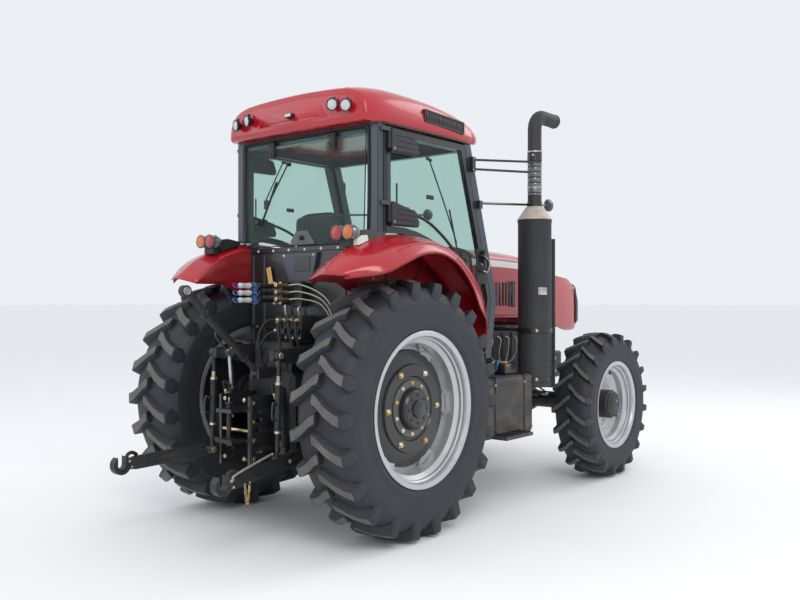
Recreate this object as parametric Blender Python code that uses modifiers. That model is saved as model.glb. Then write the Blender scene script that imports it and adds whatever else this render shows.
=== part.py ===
"""Four-wheel-drive farm tractor: a jointed assembly, in metres, +X forward, +Y left, +Z up.

The origin is on the ground under the middle of the overall box.
"""
import math

import bmesh
import bpy
from mathutils import Matrix, Vector

# Overall sizes
WHEELBASE = 2.720
REAR_OVERHANG = 1.300
FRONT_OVERHANG = 0.880
LENGTH = WHEELBASE + REAR_OVERHANG + FRONT_OVERHANG
REAR_X = REAR_OVERHANG - LENGTH / 2
GAP = 0.0003
RUNNING_GAP = 0.006
PIN_GAP = 0.0006

# Wheels
REAR_TRACK = 1.640
REAR_TYRE_R = 0.840
REAR_TYRE_WIDTH = 0.440
REAR_SEAT_R = 0.4826
REAR_RIM_WIDTH = 0.381
REAR_DISC_Z = -0.060
REAR_HUB_R = 0.105
REAR_HUB_NOSE = 0.075
FRONT_TRACK = 1.820
FRONT_TYRE_R = 0.630
FRONT_TYRE_WIDTH = 0.340
FRONT_SEAT_R = 0.3556
FRONT_RIM_WIDTH = 0.279
FRONT_DISC_Z = -0.010
FRONT_HUB_R = 0.125
FRONT_HUB_NOSE = 0.130
FLANGE_HEIGHT = 0.0254
WHEEL_STEPS = 34
KINGPIN_Y = 0.700
HUB_DEPTH = 0.090

# Cab
CAB_HALF_WIDTH = 0.700
PILLAR = 0.090
CAB_TOP = 2.720
CAB_REAR_X = -0.090
CAB_SILL_Z = 1.130
FLOOR_TOP = 1.100
WINDSCREEN_TOP_X = 0.930
WINDSCREEN_MID_X = 1.290
WINDSCREEN_MID_Z = 1.560
WINDSCREEN_LOW_X = 1.215
GLASS = 0.008
DOOR_THICKNESS = 0.040
DOOR_GAP = 0.006
REAR_GLASS_LOW = 1.935
REAR_GLASS_TOP = CAB_TOP - 0.030
ROOF_RISE = 0.270
ROOF_TOP = CAB_TOP + ROOF_RISE
FENDER_WALL_Y = 0.555
FENDER_SHEET = 0.010

# Bonnet
BONNET_REAR_X = 1.440
BONNET_TOP = 1.955
BONNET_LOW = 1.400
BONNET_HALF_WIDTH = 0.390
BONNET_SHEET = 0.012
ENGINE_HALF_WIDTH = 0.270

# Exhaust
MUFFLER_X = 1.830
MUFFLER_Y = -(CAB_HALF_WIDTH + 0.050)
MUFFLER_R = 0.140
MUFFLER_LOW = 0.840
MUFFLER_HIGH = 2.220
PIPE_R = 0.058
PIPE_TOP = 3.030

# Hitch
LINK_FRONT_X = -0.120
LINK_FRONT_Y = 0.300
LINK_FRONT_Z = 0.560
HOOK_Y = 0.498
HOOK_Z = 0.487
HOOK_R = 0.062
LINK_THICKNESS = 0.034
ROCKER_X = -0.240
ROCKER_Z = 1.170
ROCKER_TIP_X = -0.625
ROCKER_TIP_Z = 1.190
BRACKET_HALF_WIDTH = 0.130

COLOURS = {
    "red_paint": ((0.62, 0.02, 0.03), 0.3, 0.0),
    "cab_dark": ((0.035, 0.04, 0.055), 0.5, 0.0),
    "black_paint": ((0.02, 0.02, 0.022), 0.45, 0.0),
    "cast_iron": ((0.05, 0.05, 0.052), 0.6, 0.3),
    "rubber": ((0.03, 0.029, 0.028), 0.8, 0.0),
    "silver": ((0.6, 0.61, 0.62), 0.35, 0.7),
    "glass": ((0.55, 0.7, 0.66), 0.05, 0.0),
    "muffler_grey": ((0.05, 0.052, 0.055), 0.7, 0.2),
    "plastic": ((0.025, 0.025, 0.027), 0.6, 0.0),
    "seat_fabric": ((0.06, 0.06, 0.065), 0.9, 0.0),
    "steel": ((0.35, 0.35, 0.36), 0.4, 0.9),
}
PARTS = "farm_tractor"
CUTTERS = "cutters"
LEFT = 1
RIGHT = -1
SIDES = {"left": LEFT, "right": RIGHT}


def at(x, y, z):
    """A point whose x is measured from the rear axle."""
    return Vector((REAR_X + x, y, z))


def clear_scene():
    """Remove every object and add the two collections."""
    for item in list(bpy.data.objects):
        bpy.data.objects.remove(item, do_unlink=True)
    for name in (PARTS, CUTTERS):
        group = bpy.data.collections.new(name)
        bpy.context.scene.collection.children.link(group)


def material(name):
    """The named Principled material, made once."""
    found = bpy.data.materials.get(name)
    if found:
        return found
    colour, roughness, metallic = COLOURS[name]
    made = bpy.data.materials.new(name)
    made.use_nodes = True
    shader = made.node_tree.nodes["Principled BSDF"]
    shader.inputs["Base Color"].default_value = (*colour, 1.0)
    shader.inputs["Roughness"].default_value = roughness
    shader.inputs["Metallic"].default_value = metallic
    made.diffuse_color = (*colour, 1.0)
    return made


def add_mesh(name, bm, location=(0, 0, 0), helper=False):
    """Turn a bmesh into an object in the parts or the cutters collection."""
    mesh = bpy.data.meshes.new(name)
    bm.to_mesh(mesh)
    bm.free()
    item = bpy.data.objects.new(name, mesh)
    item.location = location
    bpy.data.collections[CUTTERS if helper else PARTS].objects.link(item)
    if helper:
        item.hide_render = True
        item.display_type = "WIRE"
    return item


def finish(item, finish_name, smooth_angle=35):
    """Give a part its material and shade its round faces smooth."""
    item.data.materials.clear()
    item.data.materials.append(material(finish_name))
    item.data.shade_smooth()
    item.data.set_sharp_from_angle(angle=math.radians(smooth_angle))
    return item


def box(name, low, high, helper=False):
    """A box between two corners, with its origin at its middle."""
    low = Vector(low)
    high = Vector(high)
    bm = bmesh.new()
    bmesh.ops.create_cube(bm, size=1.0)
    bmesh.ops.scale(bm, vec=high - low, verts=bm.verts)
    return add_mesh(name, bm, (low + high) / 2, helper)


def cylinder(name, start, end, radius, end_radius=None, steps=20, helper=False):
    """A cylinder or cone from one point to another."""
    start = Vector(start)
    end = Vector(end)
    run = end - start
    bm = bmesh.new()
    bmesh.ops.create_cone(
        bm, cap_ends=True, segments=steps, radius1=radius,
        radius2=radius if end_radius is None else end_radius, depth=run.length)
    turn = Vector((0, 0, 1)).rotation_difference(run.normalized()).to_matrix().to_4x4()
    bmesh.ops.transform(bm, matrix=turn, verts=bm.verts)
    return add_mesh(name, bm, (start + end) / 2, helper)


def turned(name, profile, steps, helper=False, closed=False):
    """Turn a profile of (radius, height) round Z with a Screw modifier."""
    bm = bmesh.new()
    points = [bm.verts.new((radius, 0.0, height)) for radius, height in profile]
    for one, other in zip(points, points[1:]):
        bm.edges.new((one, other))
    if closed:
        bm.edges.new((points[-1], points[0]))
    item = add_mesh(name, bm, helper=helper)
    screw = item.modifiers.new("turn", "SCREW")
    screw.steps = steps
    screw.render_steps = steps
    screw.use_merge_vertices = True
    screw.merge_threshold = 0.0001
    screw.use_smooth_shade = False
    return item


def face_sideways(item, side, location):
    """Lay a turned piece on its side, with its +Z pointing out of the tractor."""
    item.rotation_euler = (-side * math.pi / 2, 0, 0)
    item.location = location


def loft(name, rings, helper=False):
    """Join closed rings of points, all with as many points, and cap both ends."""
    bm = bmesh.new()
    loops = [[bm.verts.new(point) for point in ring] for ring in rings]
    for near, far in zip(loops, loops[1:]):
        for index in range(len(near)):
            after = (index + 1) % len(near)
            bm.faces.new((near[index], near[after], far[after], far[index]))
    bm.faces.new(list(reversed(loops[0])))
    bm.faces.new(loops[-1])
    bmesh.ops.recalc_face_normals(bm, faces=bm.faces)
    return add_mesh(name, bm, helper=helper)


def sheet(name, rows, thickness, offset=-1.0):
    """An open surface through rows of points, made solid with Solidify."""
    bm = bmesh.new()
    lines = [[bm.verts.new(point) for point in row] for row in rows]
    for near, far in zip(lines, lines[1:]):
        for index in range(len(near) - 1):
            bm.faces.new((near[index], near[index + 1], far[index + 1], far[index]))
    item = add_mesh(name, bm)
    shell = item.modifiers.new("thickness", "SOLIDIFY")
    shell.thickness = thickness
    shell.offset = offset
    shell.use_even_offset = True
    return item


def slab(name, outline, thickness, location, helper=False):
    """A flat plate in the XZ plane: its outline extruded across Y, centred."""
    curve = bpy.data.curves.new(name, "CURVE")
    curve.dimensions = "2D"
    curve.fill_mode = "BOTH"
    curve.extrude = thickness / 2
    line = curve.splines.new("POLY")
    line.points.add(len(outline) - 1)
    for point, (x, z) in zip(line.points, outline):
        point.co = (x, z, 0.0, 1.0)
    line.use_cyclic_u = True
    drawn = bpy.data.objects.new(name + "_outline", curve)
    drawn.rotation_euler = (math.pi / 2, 0, 0)
    drawn.location = location
    return mesh_from_curve(name, drawn, helper)


def tube(name, points, radius, sides=2, helper=False, closed=False):
    """A round bar or pipe through points."""
    curve = bpy.data.curves.new(name, "CURVE")
    curve.dimensions = "3D"
    curve.bevel_depth = radius
    curve.bevel_resolution = sides
    curve.use_fill_caps = not closed
    line = curve.splines.new("POLY")
    line.points.add(len(points) - 1)
    for point, place in zip(line.points, points):
        point.co = (*place, 1.0)
    line.use_cyclic_u = closed
    return mesh_from_curve(name, bpy.data.objects.new(name + "_line", curve), helper)


def mesh_from_curve(name, drawn, helper):
    """Replace a curve object by a closed mesh object."""
    bpy.context.scene.collection.objects.link(drawn)
    graph = bpy.context.evaluated_depsgraph_get()
    mesh = bpy.data.meshes.new_from_object(drawn.evaluated_get(graph))
    place = drawn.matrix_world.copy()
    bpy.data.objects.remove(drawn, do_unlink=True)
    bm = bmesh.new()
    bm.from_mesh(mesh)
    bmesh.ops.remove_doubles(bm, verts=bm.verts, dist=0.00001)
    item = add_mesh(name, bm, helper=helper)
    item.matrix_world = place
    return item


def bend(points, radius, steps=4):
    """Round the inner corners of a line of points."""
    rounded = [Vector(points[0])]
    for before, corner, after in zip(points, points[1:], points[2:]):
        corner = Vector(corner)
        back = (Vector(before) - corner).normalized()
        ahead = (Vector(after) - corner).normalized()
        half = back.angle(ahead) / 2
        reach = radius / math.tan(half)
        start = corner + back * reach
        end = corner + ahead * reach
        for step in range(steps + 1):
            share = step / steps
            straight = start.lerp(end, share)
            bow = corner.lerp(straight, 0.5 + 0.5 * abs(2 * share - 1) ** 2)
            rounded.append(bow if 0 < step < steps else straight)
    rounded.append(Vector(points[-1]))
    return rounded


def combine(item, others, operation="UNION"):
    """Join pieces to an item, or cut them out of it, with Boolean modifiers."""
    for other in others:
        modifier = item.modifiers.new(other.name, "BOOLEAN")
        modifier.operation = operation
        modifier.object = other
        modifier.solver = "EXACT"
    return item


def round_edges(item, width, segments=1, angle=30):
    """Bevel an item's sharp edges."""
    modifier = item.modifiers.new("round", "BEVEL")
    modifier.width = width
    modifier.segments = segments
    modifier.limit_method = "ANGLE"
    modifier.angle_limit = math.radians(angle)
    return item


def set_origin(item, point):
    """Move an item's origin to a point and leave its shape where it is."""
    place = item.matrix_world.copy() if item.matrix_world != Matrix() else item.matrix_basis.copy()
    item.data.transform(Matrix.Translation(-Vector(point)) @ place)
    item.matrix_basis = Matrix.Translation(Vector(point))
    return item


# Wheels, axles and steering

def tyre_profile(radius, width, seat_r, bead_width):
    """Closed cross-section of a tyre: tread, shoulders, sidewalls and beads."""
    half = width / 2
    height = radius - seat_r
    tread_r = radius / math.cos(math.pi / WHEEL_STEPS)
    outer = [
        (tread_r, half * 0.66),
        (tread_r - 0.030, half * 0.96),
        (radius - height * 0.38, half),
        (seat_r + height * 0.22, half * 0.95),
    ]
    bead = (seat_r + GAP, bead_width / 2)
    above_flange = (seat_r + FLANGE_HEIGHT + 0.004, bead_width / 2)
    upper = [bead, above_flange] + list(reversed(outer))
    return upper + [(r, -z) for r, z in reversed(upper)]


def build_tyre(name, side, axle, radius, width, seat_r, rim_width):
    """One tyre, a solid ring seated on its rim."""
    profile = tyre_profile(radius, width, seat_r, rim_width - 0.008)
    item = turned(name, profile, WHEEL_STEPS, closed=True)
    face_sideways(item, side, axle)
    return finish(item, "rubber")


def rim_profile(seat_r, width, disc_z, hub_r, hub_nose, hub_back):
    """Rim, disc and hub as one turned wall, from the hub's nose round to its back."""
    half = width / 2
    flange = seat_r + FLANGE_HEIGHT
    wall = 0.012
    well = seat_r - 0.040
    return [
        (0.0, hub_nose),
        (hub_r * 0.9, hub_nose),
        (hub_r, hub_nose - 0.012),
        (hub_r, disc_z + 0.012),
        (well * 0.78, disc_z + 0.012),
        (well - wall, disc_z + 0.050),
        (well - wall, half * 0.42 - 0.005),
        (seat_r - wall, half + 0.002),
        (flange, half + 0.010),
        (flange, half + 0.002),
        (seat_r, half - 0.003),
        (well, half * 0.42),
        (well, -half * 0.42),
        (seat_r, -half + 0.003),
        (flange, -half - 0.002),
        (flange, -half - 0.010),
        (seat_r - wall, -half - 0.004),
        (well - wall, -half * 0.55),
        (well * 0.78, disc_z - 0.010),
        (hub_r * 0.95, disc_z - 0.012),
        (hub_r * 0.95, hub_back),
        (0.0, hub_back),
    ]


def build_rim(name, side, axle, seat_r, width, disc_z, hub_r, hub_nose, hub_back):
    """One wheel: rim, dished disc and hub."""
    profile = rim_profile(seat_r, width, disc_z, hub_r, hub_nose, hub_back)
    item = turned(name, profile, WHEEL_STEPS)
    face_sideways(item, side, axle)
    return finish(item, "silver")


def rear_axle_centre(side):
    """Middle of a rear wheel."""
    return at(0, side * REAR_TRACK / 2, REAR_TYRE_R)


def front_axle_centre(side):
    """Middle of a front wheel."""
    return at(WHEELBASE, side * FRONT_TRACK / 2, FRONT_TYRE_R)


def build_wheels():
    """Four tyres and four rims."""
    for word, side in SIDES.items():
        rear = rear_axle_centre(side)
        front = front_axle_centre(side)
        build_tyre(f"rear_tyre_{word}", side, rear, REAR_TYRE_R, REAR_TYRE_WIDTH, REAR_SEAT_R, REAR_RIM_WIDTH)
        build_rim(f"rear_rim_{word}", side, rear, REAR_SEAT_R, REAR_RIM_WIDTH, REAR_DISC_Z, REAR_HUB_R,
                  REAR_HUB_NOSE, REAR_DISC_Z - HUB_DEPTH)
        build_tyre(f"front_tyre_{word}", side, front, FRONT_TYRE_R, FRONT_TYRE_WIDTH, FRONT_SEAT_R,
                   FRONT_RIM_WIDTH)
        build_rim(f"front_rim_{word}", side, front, FRONT_SEAT_R, FRONT_RIM_WIDTH, FRONT_DISC_Z, FRONT_HUB_R,
                  FRONT_HUB_NOSE, FRONT_DISC_Z - HUB_DEPTH)


AXLE_HOUSING_Z = (0.520, 1.060)
AXLE_HOUSING_X = (-0.420, 0.380)
AXLE_HOUSING_HALF = 0.230


def build_rear_axle():
    """Cast centre housing with a trumpet out to each rear wheel."""
    core = box("rear_axle_housing", at(AXLE_HOUSING_X[0], -AXLE_HOUSING_HALF, AXLE_HOUSING_Z[0]),
               at(AXLE_HOUSING_X[1], AXLE_HOUSING_HALF, AXLE_HOUSING_Z[1]))
    round_edges(core, 0.030)
    hub_back = REAR_TRACK / 2 + REAR_DISC_Z - HUB_DEPTH - PIN_GAP
    trumpets = []
    for word, side in SIDES.items():
        inner = at(0, side * (AXLE_HOUSING_HALF - 0.05), REAR_TYRE_R)
        outer = at(0, side * (hub_back - 0.030), REAR_TYRE_R)
        trumpets.append(cylinder(f"trumpet_{word}", inner, outer, 0.165, 0.110, 24, helper=True))
        cap = at(0, side * hub_back, REAR_TYRE_R)
        root = at(0, side * (hub_back - 0.050), REAR_TYRE_R)
        trumpets.append(cylinder(f"trumpet_flange_{word}", root, cap, 0.150, 0.150, 24, helper=True))
    combine(core, trumpets)
    return finish(core, "cast_iron")


GEARBOX_HALF = 0.210
GEARBOX_Z = (0.500, 0.980)
ENGINE_X = (1.500, 2.480)
ENGINE_Z = (0.600, 1.350)
FRAME_HALF = 0.200
BEAM_R = 0.075
DIFFERENTIAL_R = 0.165
FRAME_Z = (FRONT_TYRE_R + DIFFERENTIAL_R + GAP, 1.050)
FRAME_FRONT_X = 3.300
YOKE_GAP = 0.120
YOKE_EAR = 0.030


def build_driveline():
    """Gearbox, engine block and the front frame that carries the axle."""
    gearbox = box("gearbox", at(AXLE_HOUSING_X[1] + GAP, -GEARBOX_HALF, GEARBOX_Z[0]),
                  at(ENGINE_X[0] - GAP, GEARBOX_HALF, GEARBOX_Z[1]))
    round_edges(gearbox, 0.020)
    finish(gearbox, "cast_iron")
    engine = box("engine_block", at(ENGINE_X[0], -ENGINE_HALF_WIDTH, ENGINE_Z[0]),
                 at(ENGINE_X[1] - GAP, ENGINE_HALF_WIDTH, ENGINE_Z[1]))
    round_edges(engine, 0.025)
    finish(engine, "cast_iron")
    frame = box("front_frame", at(ENGINE_X[1], -FRAME_HALF, FRAME_Z[0]),
                at(FRAME_FRONT_X, FRAME_HALF, FRAME_Z[1]))
    round_edges(frame, 0.015)
    finish(frame, "cast_iron")


def build_front_axle():
    """Driven front beam with a round differential and a yoke at each end."""
    end = KINGPIN_Y - 0.085
    profile = [
        (0.0, end), (BEAM_R, end), (BEAM_R, 0.260), (DIFFERENTIAL_R, 0.110),
        (DIFFERENTIAL_R, -0.110), (BEAM_R, -0.260), (BEAM_R, -end), (0.0, -end),
    ]
    beam = turned("front_axle_beam", profile, 24)
    face_sideways(beam, LEFT, at(WHEELBASE, 0, FRONT_TYRE_R))
    pieces = []
    for word, side in SIDES.items():
        low = min(side * (end - 0.050), side * (end + 0.001))
        high = max(side * (end - 0.050), side * (end + 0.001))
        reach = YOKE_GAP + YOKE_EAR
        pieces.append(box(f"yoke_web_{word}", at(WHEELBASE - 0.055, low, FRONT_TYRE_R - reach),
                          at(WHEELBASE + 0.055, high, FRONT_TYRE_R + reach), helper=True))
        ear_out = KINGPIN_Y + 0.055
        for word2, up in (("top", 1), ("low", -1)):
            zs = sorted((FRONT_TYRE_R + up * YOKE_GAP, FRONT_TYRE_R + up * (reach - 0.001)))
            ys = sorted((side * (end - 0.030), side * ear_out))
            pieces.append(box(f"yoke_ear_{word2}_{word}", at(WHEELBASE - 0.054, ys[0], zs[0]),
                              at(WHEELBASE + 0.054, ys[1], zs[1]), helper=True))
    combine(beam, pieces)
    finish(beam, "cast_iron")


def build_knuckles():
    """A steered knuckle in each yoke, with the stub that the front wheel turns on."""
    stub_out = FRONT_TRACK / 2 + FRONT_DISC_Z - HUB_DEPTH - PIN_GAP
    for word, side in SIDES.items():
        pin = at(WHEELBASE, side * KINGPIN_Y, FRONT_TYRE_R)
        half = Vector((0, 0, YOKE_GAP - PIN_GAP))
        post = cylinder(f"knuckle_{word}", pin - half, pin + half, 0.060, steps=24)
        stub = cylinder(f"stub_{word}", pin, at(WHEELBASE, side * stub_out, FRONT_TYRE_R), 0.055, steps=24,
                        helper=True)
        combine(post, [stub])
        finish(post, "cast_iron")


# Tanks and steps

TANK_X = (0.950, 1.640)
TANK_Z = (0.500, 0.960)
TANK_Y = (0.560, 0.850)


def build_tanks():
    """A fuel tank with its filler and steps on each side, under the doors."""
    for word, side in SIDES.items():
        ys = sorted((side * TANK_Y[0], side * TANK_Y[1]))
        tank = box(f"fuel_tank_{word}", at(TANK_X[0], ys[0], TANK_Z[0]), at(TANK_X[1], ys[1], TANK_Z[1]))
        round_edges(tank, 0.030, 2)
        middle = side * (TANK_Y[0] + TANK_Y[1]) / 2
        neck = cylinder(f"filler_{word}", at(TANK_X[0] + 0.16, middle, TANK_Z[1] - 0.02),
                        at(TANK_X[0] + 0.16, middle, TANK_Z[1] + 0.050), 0.055, helper=True)
        bracket_ys = sorted((side * GEARBOX_HALF, side * (TANK_Y[0] + 0.03)))
        arms = [
            box(f"tank_arm_{word}_{index}", at(x, bracket_ys[0] + (GAP if side > 0 else 0), 0.62),
                at(x + 0.06, bracket_ys[1] - (0 if side > 0 else GAP), 0.70), helper=True)
            for index, x in enumerate((TANK_X[0] + 0.08, TANK_X[1] - 0.30))
        ]
        step_ys = sorted((side * (TANK_Y[1] - 0.02), side * (TANK_Y[1] + 0.12)))
        tread = box(f"step_{word}", at(TANK_X[0] + 0.10, step_ys[0], 0.505),
                    at(TANK_X[0] + 0.48, step_ys[1], 0.530), helper=True)
        combine(tank, [neck, tread] + arms)
        finish(tank, "black_paint")


# Cab

def build_cab_floor():
    """Floor plate with the raised seat platform behind it."""
    floor = box("cab_floor", at(0.300, -0.540, FLOOR_TOP - 0.050), at(1.230, 0.540, FLOOR_TOP))
    platform = box("seat_platform", at(0.020, -0.530, FLOOR_TOP - 0.049),
                   at(0.560, 0.530, PLATFORM_TOP), helper=True)
    mount = box("cab_mount", at(0.020, -0.180, GEARBOX_Z[1] + GAP), at(1.150, 0.180, FLOOR_TOP - 0.040),
                helper=True)
    front = box("cab_mount_rear_cut", at(-0.05, -0.25, 0.9), at(AXLE_HOUSING_X[1] + 0.02, 0.25, 1.062),
                helper=True)
    combine(floor, [platform, mount])
    combine(floor, [front], "DIFFERENCE")
    finish(floor, "cab_dark")


def pillar_outline():
    """Front pillar's centre line in side view, from the roof down to the sill."""
    return [
        (WINDSCREEN_TOP_X, CAB_TOP),
        (WINDSCREEN_MID_X, WINDSCREEN_MID_Z),
        (WINDSCREEN_LOW_X, FLOOR_TOP),
    ]


PILLAR_DEPTH = 0.075
CREST_R = 1.140
PILLAR_FOOT = REAR_TYRE_R + CREST_R - 0.004
PLATFORM_TOP = 1.480
PILLAR_WIDTH = 0.060
HEADER = 0.060


def build_cab_frame():
    """Four pillars, roof ring, sills and rear wall of the cab as one welded frame."""
    inner = CAB_HALF_WIDTH - PILLAR
    frame = box("cab_frame", at(CAB_REAR_X, -CAB_HALF_WIDTH, CAB_TOP - HEADER),
                at(CAB_REAR_X + 0.070, CAB_HALF_WIDTH, CAB_TOP))
    pieces = []
    front_top = WINDSCREEN_TOP_X
    pieces.append(box("front_header", at(front_top - 0.020, -CAB_HALF_WIDTH + 0.001, CAB_TOP - HEADER),
                      at(front_top + 0.030, CAB_HALF_WIDTH - 0.001, CAB_TOP - 0.001), helper=True))
    for word, side in SIDES.items():
        outer_y = side * CAB_HALF_WIDTH
        ys = sorted((outer_y, side * inner))
        pieces.append(box(f"rear_pillar_{word}", at(CAB_REAR_X + 0.0005, ys[0], PILLAR_FOOT),
                          at(CAB_REAR_X + 0.068, ys[1], CAB_TOP - 0.002), helper=True))
        rail_ys = sorted((side * (CAB_HALF_WIDTH - DOOR_THICKNESS - DOOR_GAP), side * inner))
        pieces.append(box(f"roof_rail_{word}", at(CAB_REAR_X + 0.01, rail_ys[0], CAB_TOP - HEADER + 0.001),
                          at(front_top, rail_ys[1], CAB_TOP - 0.003), helper=True))
        line = pillar_outline()
        outline = [(x + PILLAR_DEPTH * 0.5, z) for x, z in line]
        outline += [(x - PILLAR_DEPTH * 0.5, z) for x, z in reversed(line)]
        outline = [(REAR_X + x, z - 0.004 if z == CAB_TOP else z) for x, z in outline]
        pieces.append(slab(f"front_pillar_{word}", outline, PILLAR_WIDTH,
                           (0, side * (CAB_HALF_WIDTH - PILLAR_WIDTH / 2 - 0.0005), 0), helper=True))
        wall_y = FENDER_WALL_Y - GAP
        wall_ys = sorted((side * wall_y, side * (wall_y - 0.028)))
        pieces.append(box(f"side_wall_{word}", at(CAB_REAR_X + 0.002, wall_ys[0], PLATFORM_TOP + GAP),
                          at(0.600, wall_ys[1], 1.800), helper=True))
        post_ys = sorted((side * (wall_y - 0.0005), side * (wall_y - 0.045)))
        pieces.append(box(f"corner_post_{word}", at(CAB_REAR_X + 0.0015, post_ys[0], 1.850),
                          at(CAB_REAR_X + 0.0385, post_ys[1], PILLAR_FOOT + 0.018), helper=True))
        ledge_ys = sorted((side * (wall_y - 0.044), side * (CAB_HALF_WIDTH - 0.001)))
        pieces += door_hinge_lugs(word, side)
        pieces.append(box(f"rear_ledge_{word}", at(CAB_REAR_X + 0.001, ledge_ys[0], PILLAR_FOOT + 0.0005),
                          at(CAB_REAR_X + 0.067, ledge_ys[1], PILLAR_FOOT + 0.020), helper=True))
    sill_low = FLOOR_TOP + GAP
    pieces.append(box("front_wall", at(WINDSCREEN_LOW_X - 0.015, -CAB_HALF_WIDTH + 0.010, sill_low),
                      at(WINDSCREEN_LOW_X + 0.022, CAB_HALF_WIDTH - 0.010, FLOOR_TOP + 0.100), helper=True))
    pieces.append(box("rear_wall", at(CAB_REAR_X + 0.001, -wall_y, PLATFORM_TOP + 0.010),
                      at(CAB_REAR_X + 0.040, wall_y, REAR_GLASS_LOW - 0.010), helper=True))
    combine(frame, pieces)
    finish(frame, "cab_dark")


def build_glass():
    """Windscreen pane between the front pillars."""
    half = CAB_HALF_WIDTH - PILLAR_WIDTH - 0.001
    line = [(WINDSCREEN_TOP_X, CAB_TOP - HEADER - 0.001), (WINDSCREEN_MID_X, WINDSCREEN_MID_Z),
            (WINDSCREEN_LOW_X + 0.01, FLOOR_TOP + 0.102)]
    outline = [(REAR_X + x + GLASS, z) for x, z in line] + [(REAR_X + x, z) for x, z in reversed(line)]
    pane = slab("windscreen", outline, 2 * half, (0, 0, 0))
    finish(pane, "glass")


def roof_ring(x, half, low, top, crown):
    """One cross-section of the roof: flat below, rounded shoulders above."""
    points = [(half - 0.02, low), (half, low + 0.03), (half * 0.985, low + (top - low) * 0.45),
              (half * 0.93, low + (top - low) * 0.86), (half * 0.78, top)]
    across = [(0.0, top + crown)]
    ring = points + across + [(-y, z) for y, z in reversed(points)]
    return [at(x, y, z) for y, z in ring]


def build_roof():
    """Roof cap with a sloping crown, deepest over the rear window."""
    low = CAB_TOP + GAP
    rings = [
        roof_ring(-0.205, 0.560, CAB_TOP + 0.070, ROOF_TOP - 0.090, 0.010),
        roof_ring(-0.190, 0.640, CAB_TOP + 0.030, ROOF_TOP - 0.060, 0.012),
        roof_ring(-0.100, 0.690, low, ROOF_TOP - 0.025, 0.015),
        roof_ring(0.150, 0.715, low, ROOF_TOP, 0.015),
        roof_ring(0.600, 0.720, low, ROOF_TOP - 0.015, 0.015),
        roof_ring(0.960, 0.700, low, ROOF_TOP - 0.065, 0.015),
        roof_ring(1.140, 0.640, CAB_TOP + 0.025, ROOF_TOP - 0.130, 0.012),
        roof_ring(1.190, 0.540, CAB_TOP + 0.055, ROOF_TOP - 0.170, 0.008),
    ]
    roof = loft("roof", rings)
    finish(roof, "red_paint", 50)


# Fenders

CREST_CENTRE = (0.090, REAR_TYRE_R)
LIP_CENTRE = (-0.030, REAR_TYRE_R)
LIP_R = 1.035
FENDER_OUT = 1.040
FENDER_STATIONS = 9
FENDER_REAR_ANGLE = 130
FENDER_FRONT_ANGLE = 40


def polar(centre, radius, degrees):
    """A point on a circle in side view."""
    turn = math.radians(degrees)
    return Vector((centre[0] + radius * math.cos(turn), centre[1] + radius * math.sin(turn)))


def fender_rows(side):
    """Cross-sections of a fender from its rear lobe over the wheel to its front foot."""
    stations = []
    for index in range(FENDER_STATIONS):
        share = index / (FENDER_STATIONS - 1)
        angle = FENDER_REAR_ANGLE + (FENDER_FRONT_ANGLE - FENDER_REAR_ANGLE) * share
        crest = polar(CREST_CENTRE, CREST_R, angle)
        lip = polar(LIP_CENTRE, LIP_R, angle - 8 * (1 - share))
        out = FENDER_OUT - 0.200 * max(0.0, 1 - share * 5) ** 2 - 0.110 * max(0.0, share - 0.6) / 0.4
        wall_r = CREST_R - 0.070 if index < 2 else REAR_TYRE_R + (0.120 if index == 2 else -0.060)
        wall = polar(CREST_CENTRE if index < 2 else LIP_CENTRE, wall_r, angle)
        stations.append((crest, lip, out, wall))
    foot_x = stations[-1][0].x
    for drop, back in ((0.180, 0.005), (0.400, 0.020)):
        crest = Vector((foot_x - back, stations[FENDER_STATIONS - 1][0].y - drop))
        lip = Vector((foot_x - back - 0.060, crest.y - 0.010))
        wall = Vector((foot_x - back - 0.080, crest.y - 0.020))
        stations.append((crest, lip, 0.900, wall))
    rows = []
    for crest, lip, out, wall in stations:
        inner = FENDER_WALL_Y
        shoulder = crest + (wall - crest).normalized() * 0.050
        under = lip + (Vector(LIP_CENTRE) - lip).normalized() * 0.045
        section = [
            (inner, wall), (inner, shoulder), (0.700, crest), (0.745, crest),
            (0.745 + (out - 0.745) * 0.45, crest.lerp(lip, 0.18)),
            (0.745 + (out - 0.745) * 0.82, crest.lerp(lip, 0.55)),
            (out, lip), (out, under),
        ]
        rows.append([at(flat.x, side * y, flat.y) for y, flat in section])
    return rows


def build_fenders():
    """A pressed fender over each rear wheel."""
    for word, side in SIDES.items():
        rows = fender_rows(side)
        if side == LEFT:
            rows.reverse()
        fender = sheet(f"fender_{word}", rows, FENDER_SHEET)
        finish(fender, "red_paint", 45)


# Doors and rear window

DOOR_ARC_R = CREST_R + 0.016
DOOR_REAR_X = CAB_REAR_X + 0.070 + DOOR_GAP
DOOR_TOP = CAB_TOP - 0.022
DOOR_FOOT_X = 1.010
DOOR_FRAME = 0.045
HINGE_X = DOOR_REAR_X + 0.012
HINGE_Y = CAB_HALF_WIDTH + 0.016
HINGE_HEIGHTS = (CAB_TOP - 0.110, CAB_TOP - 0.600)
HINGE_HALF_HEIGHT = 0.055


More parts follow.
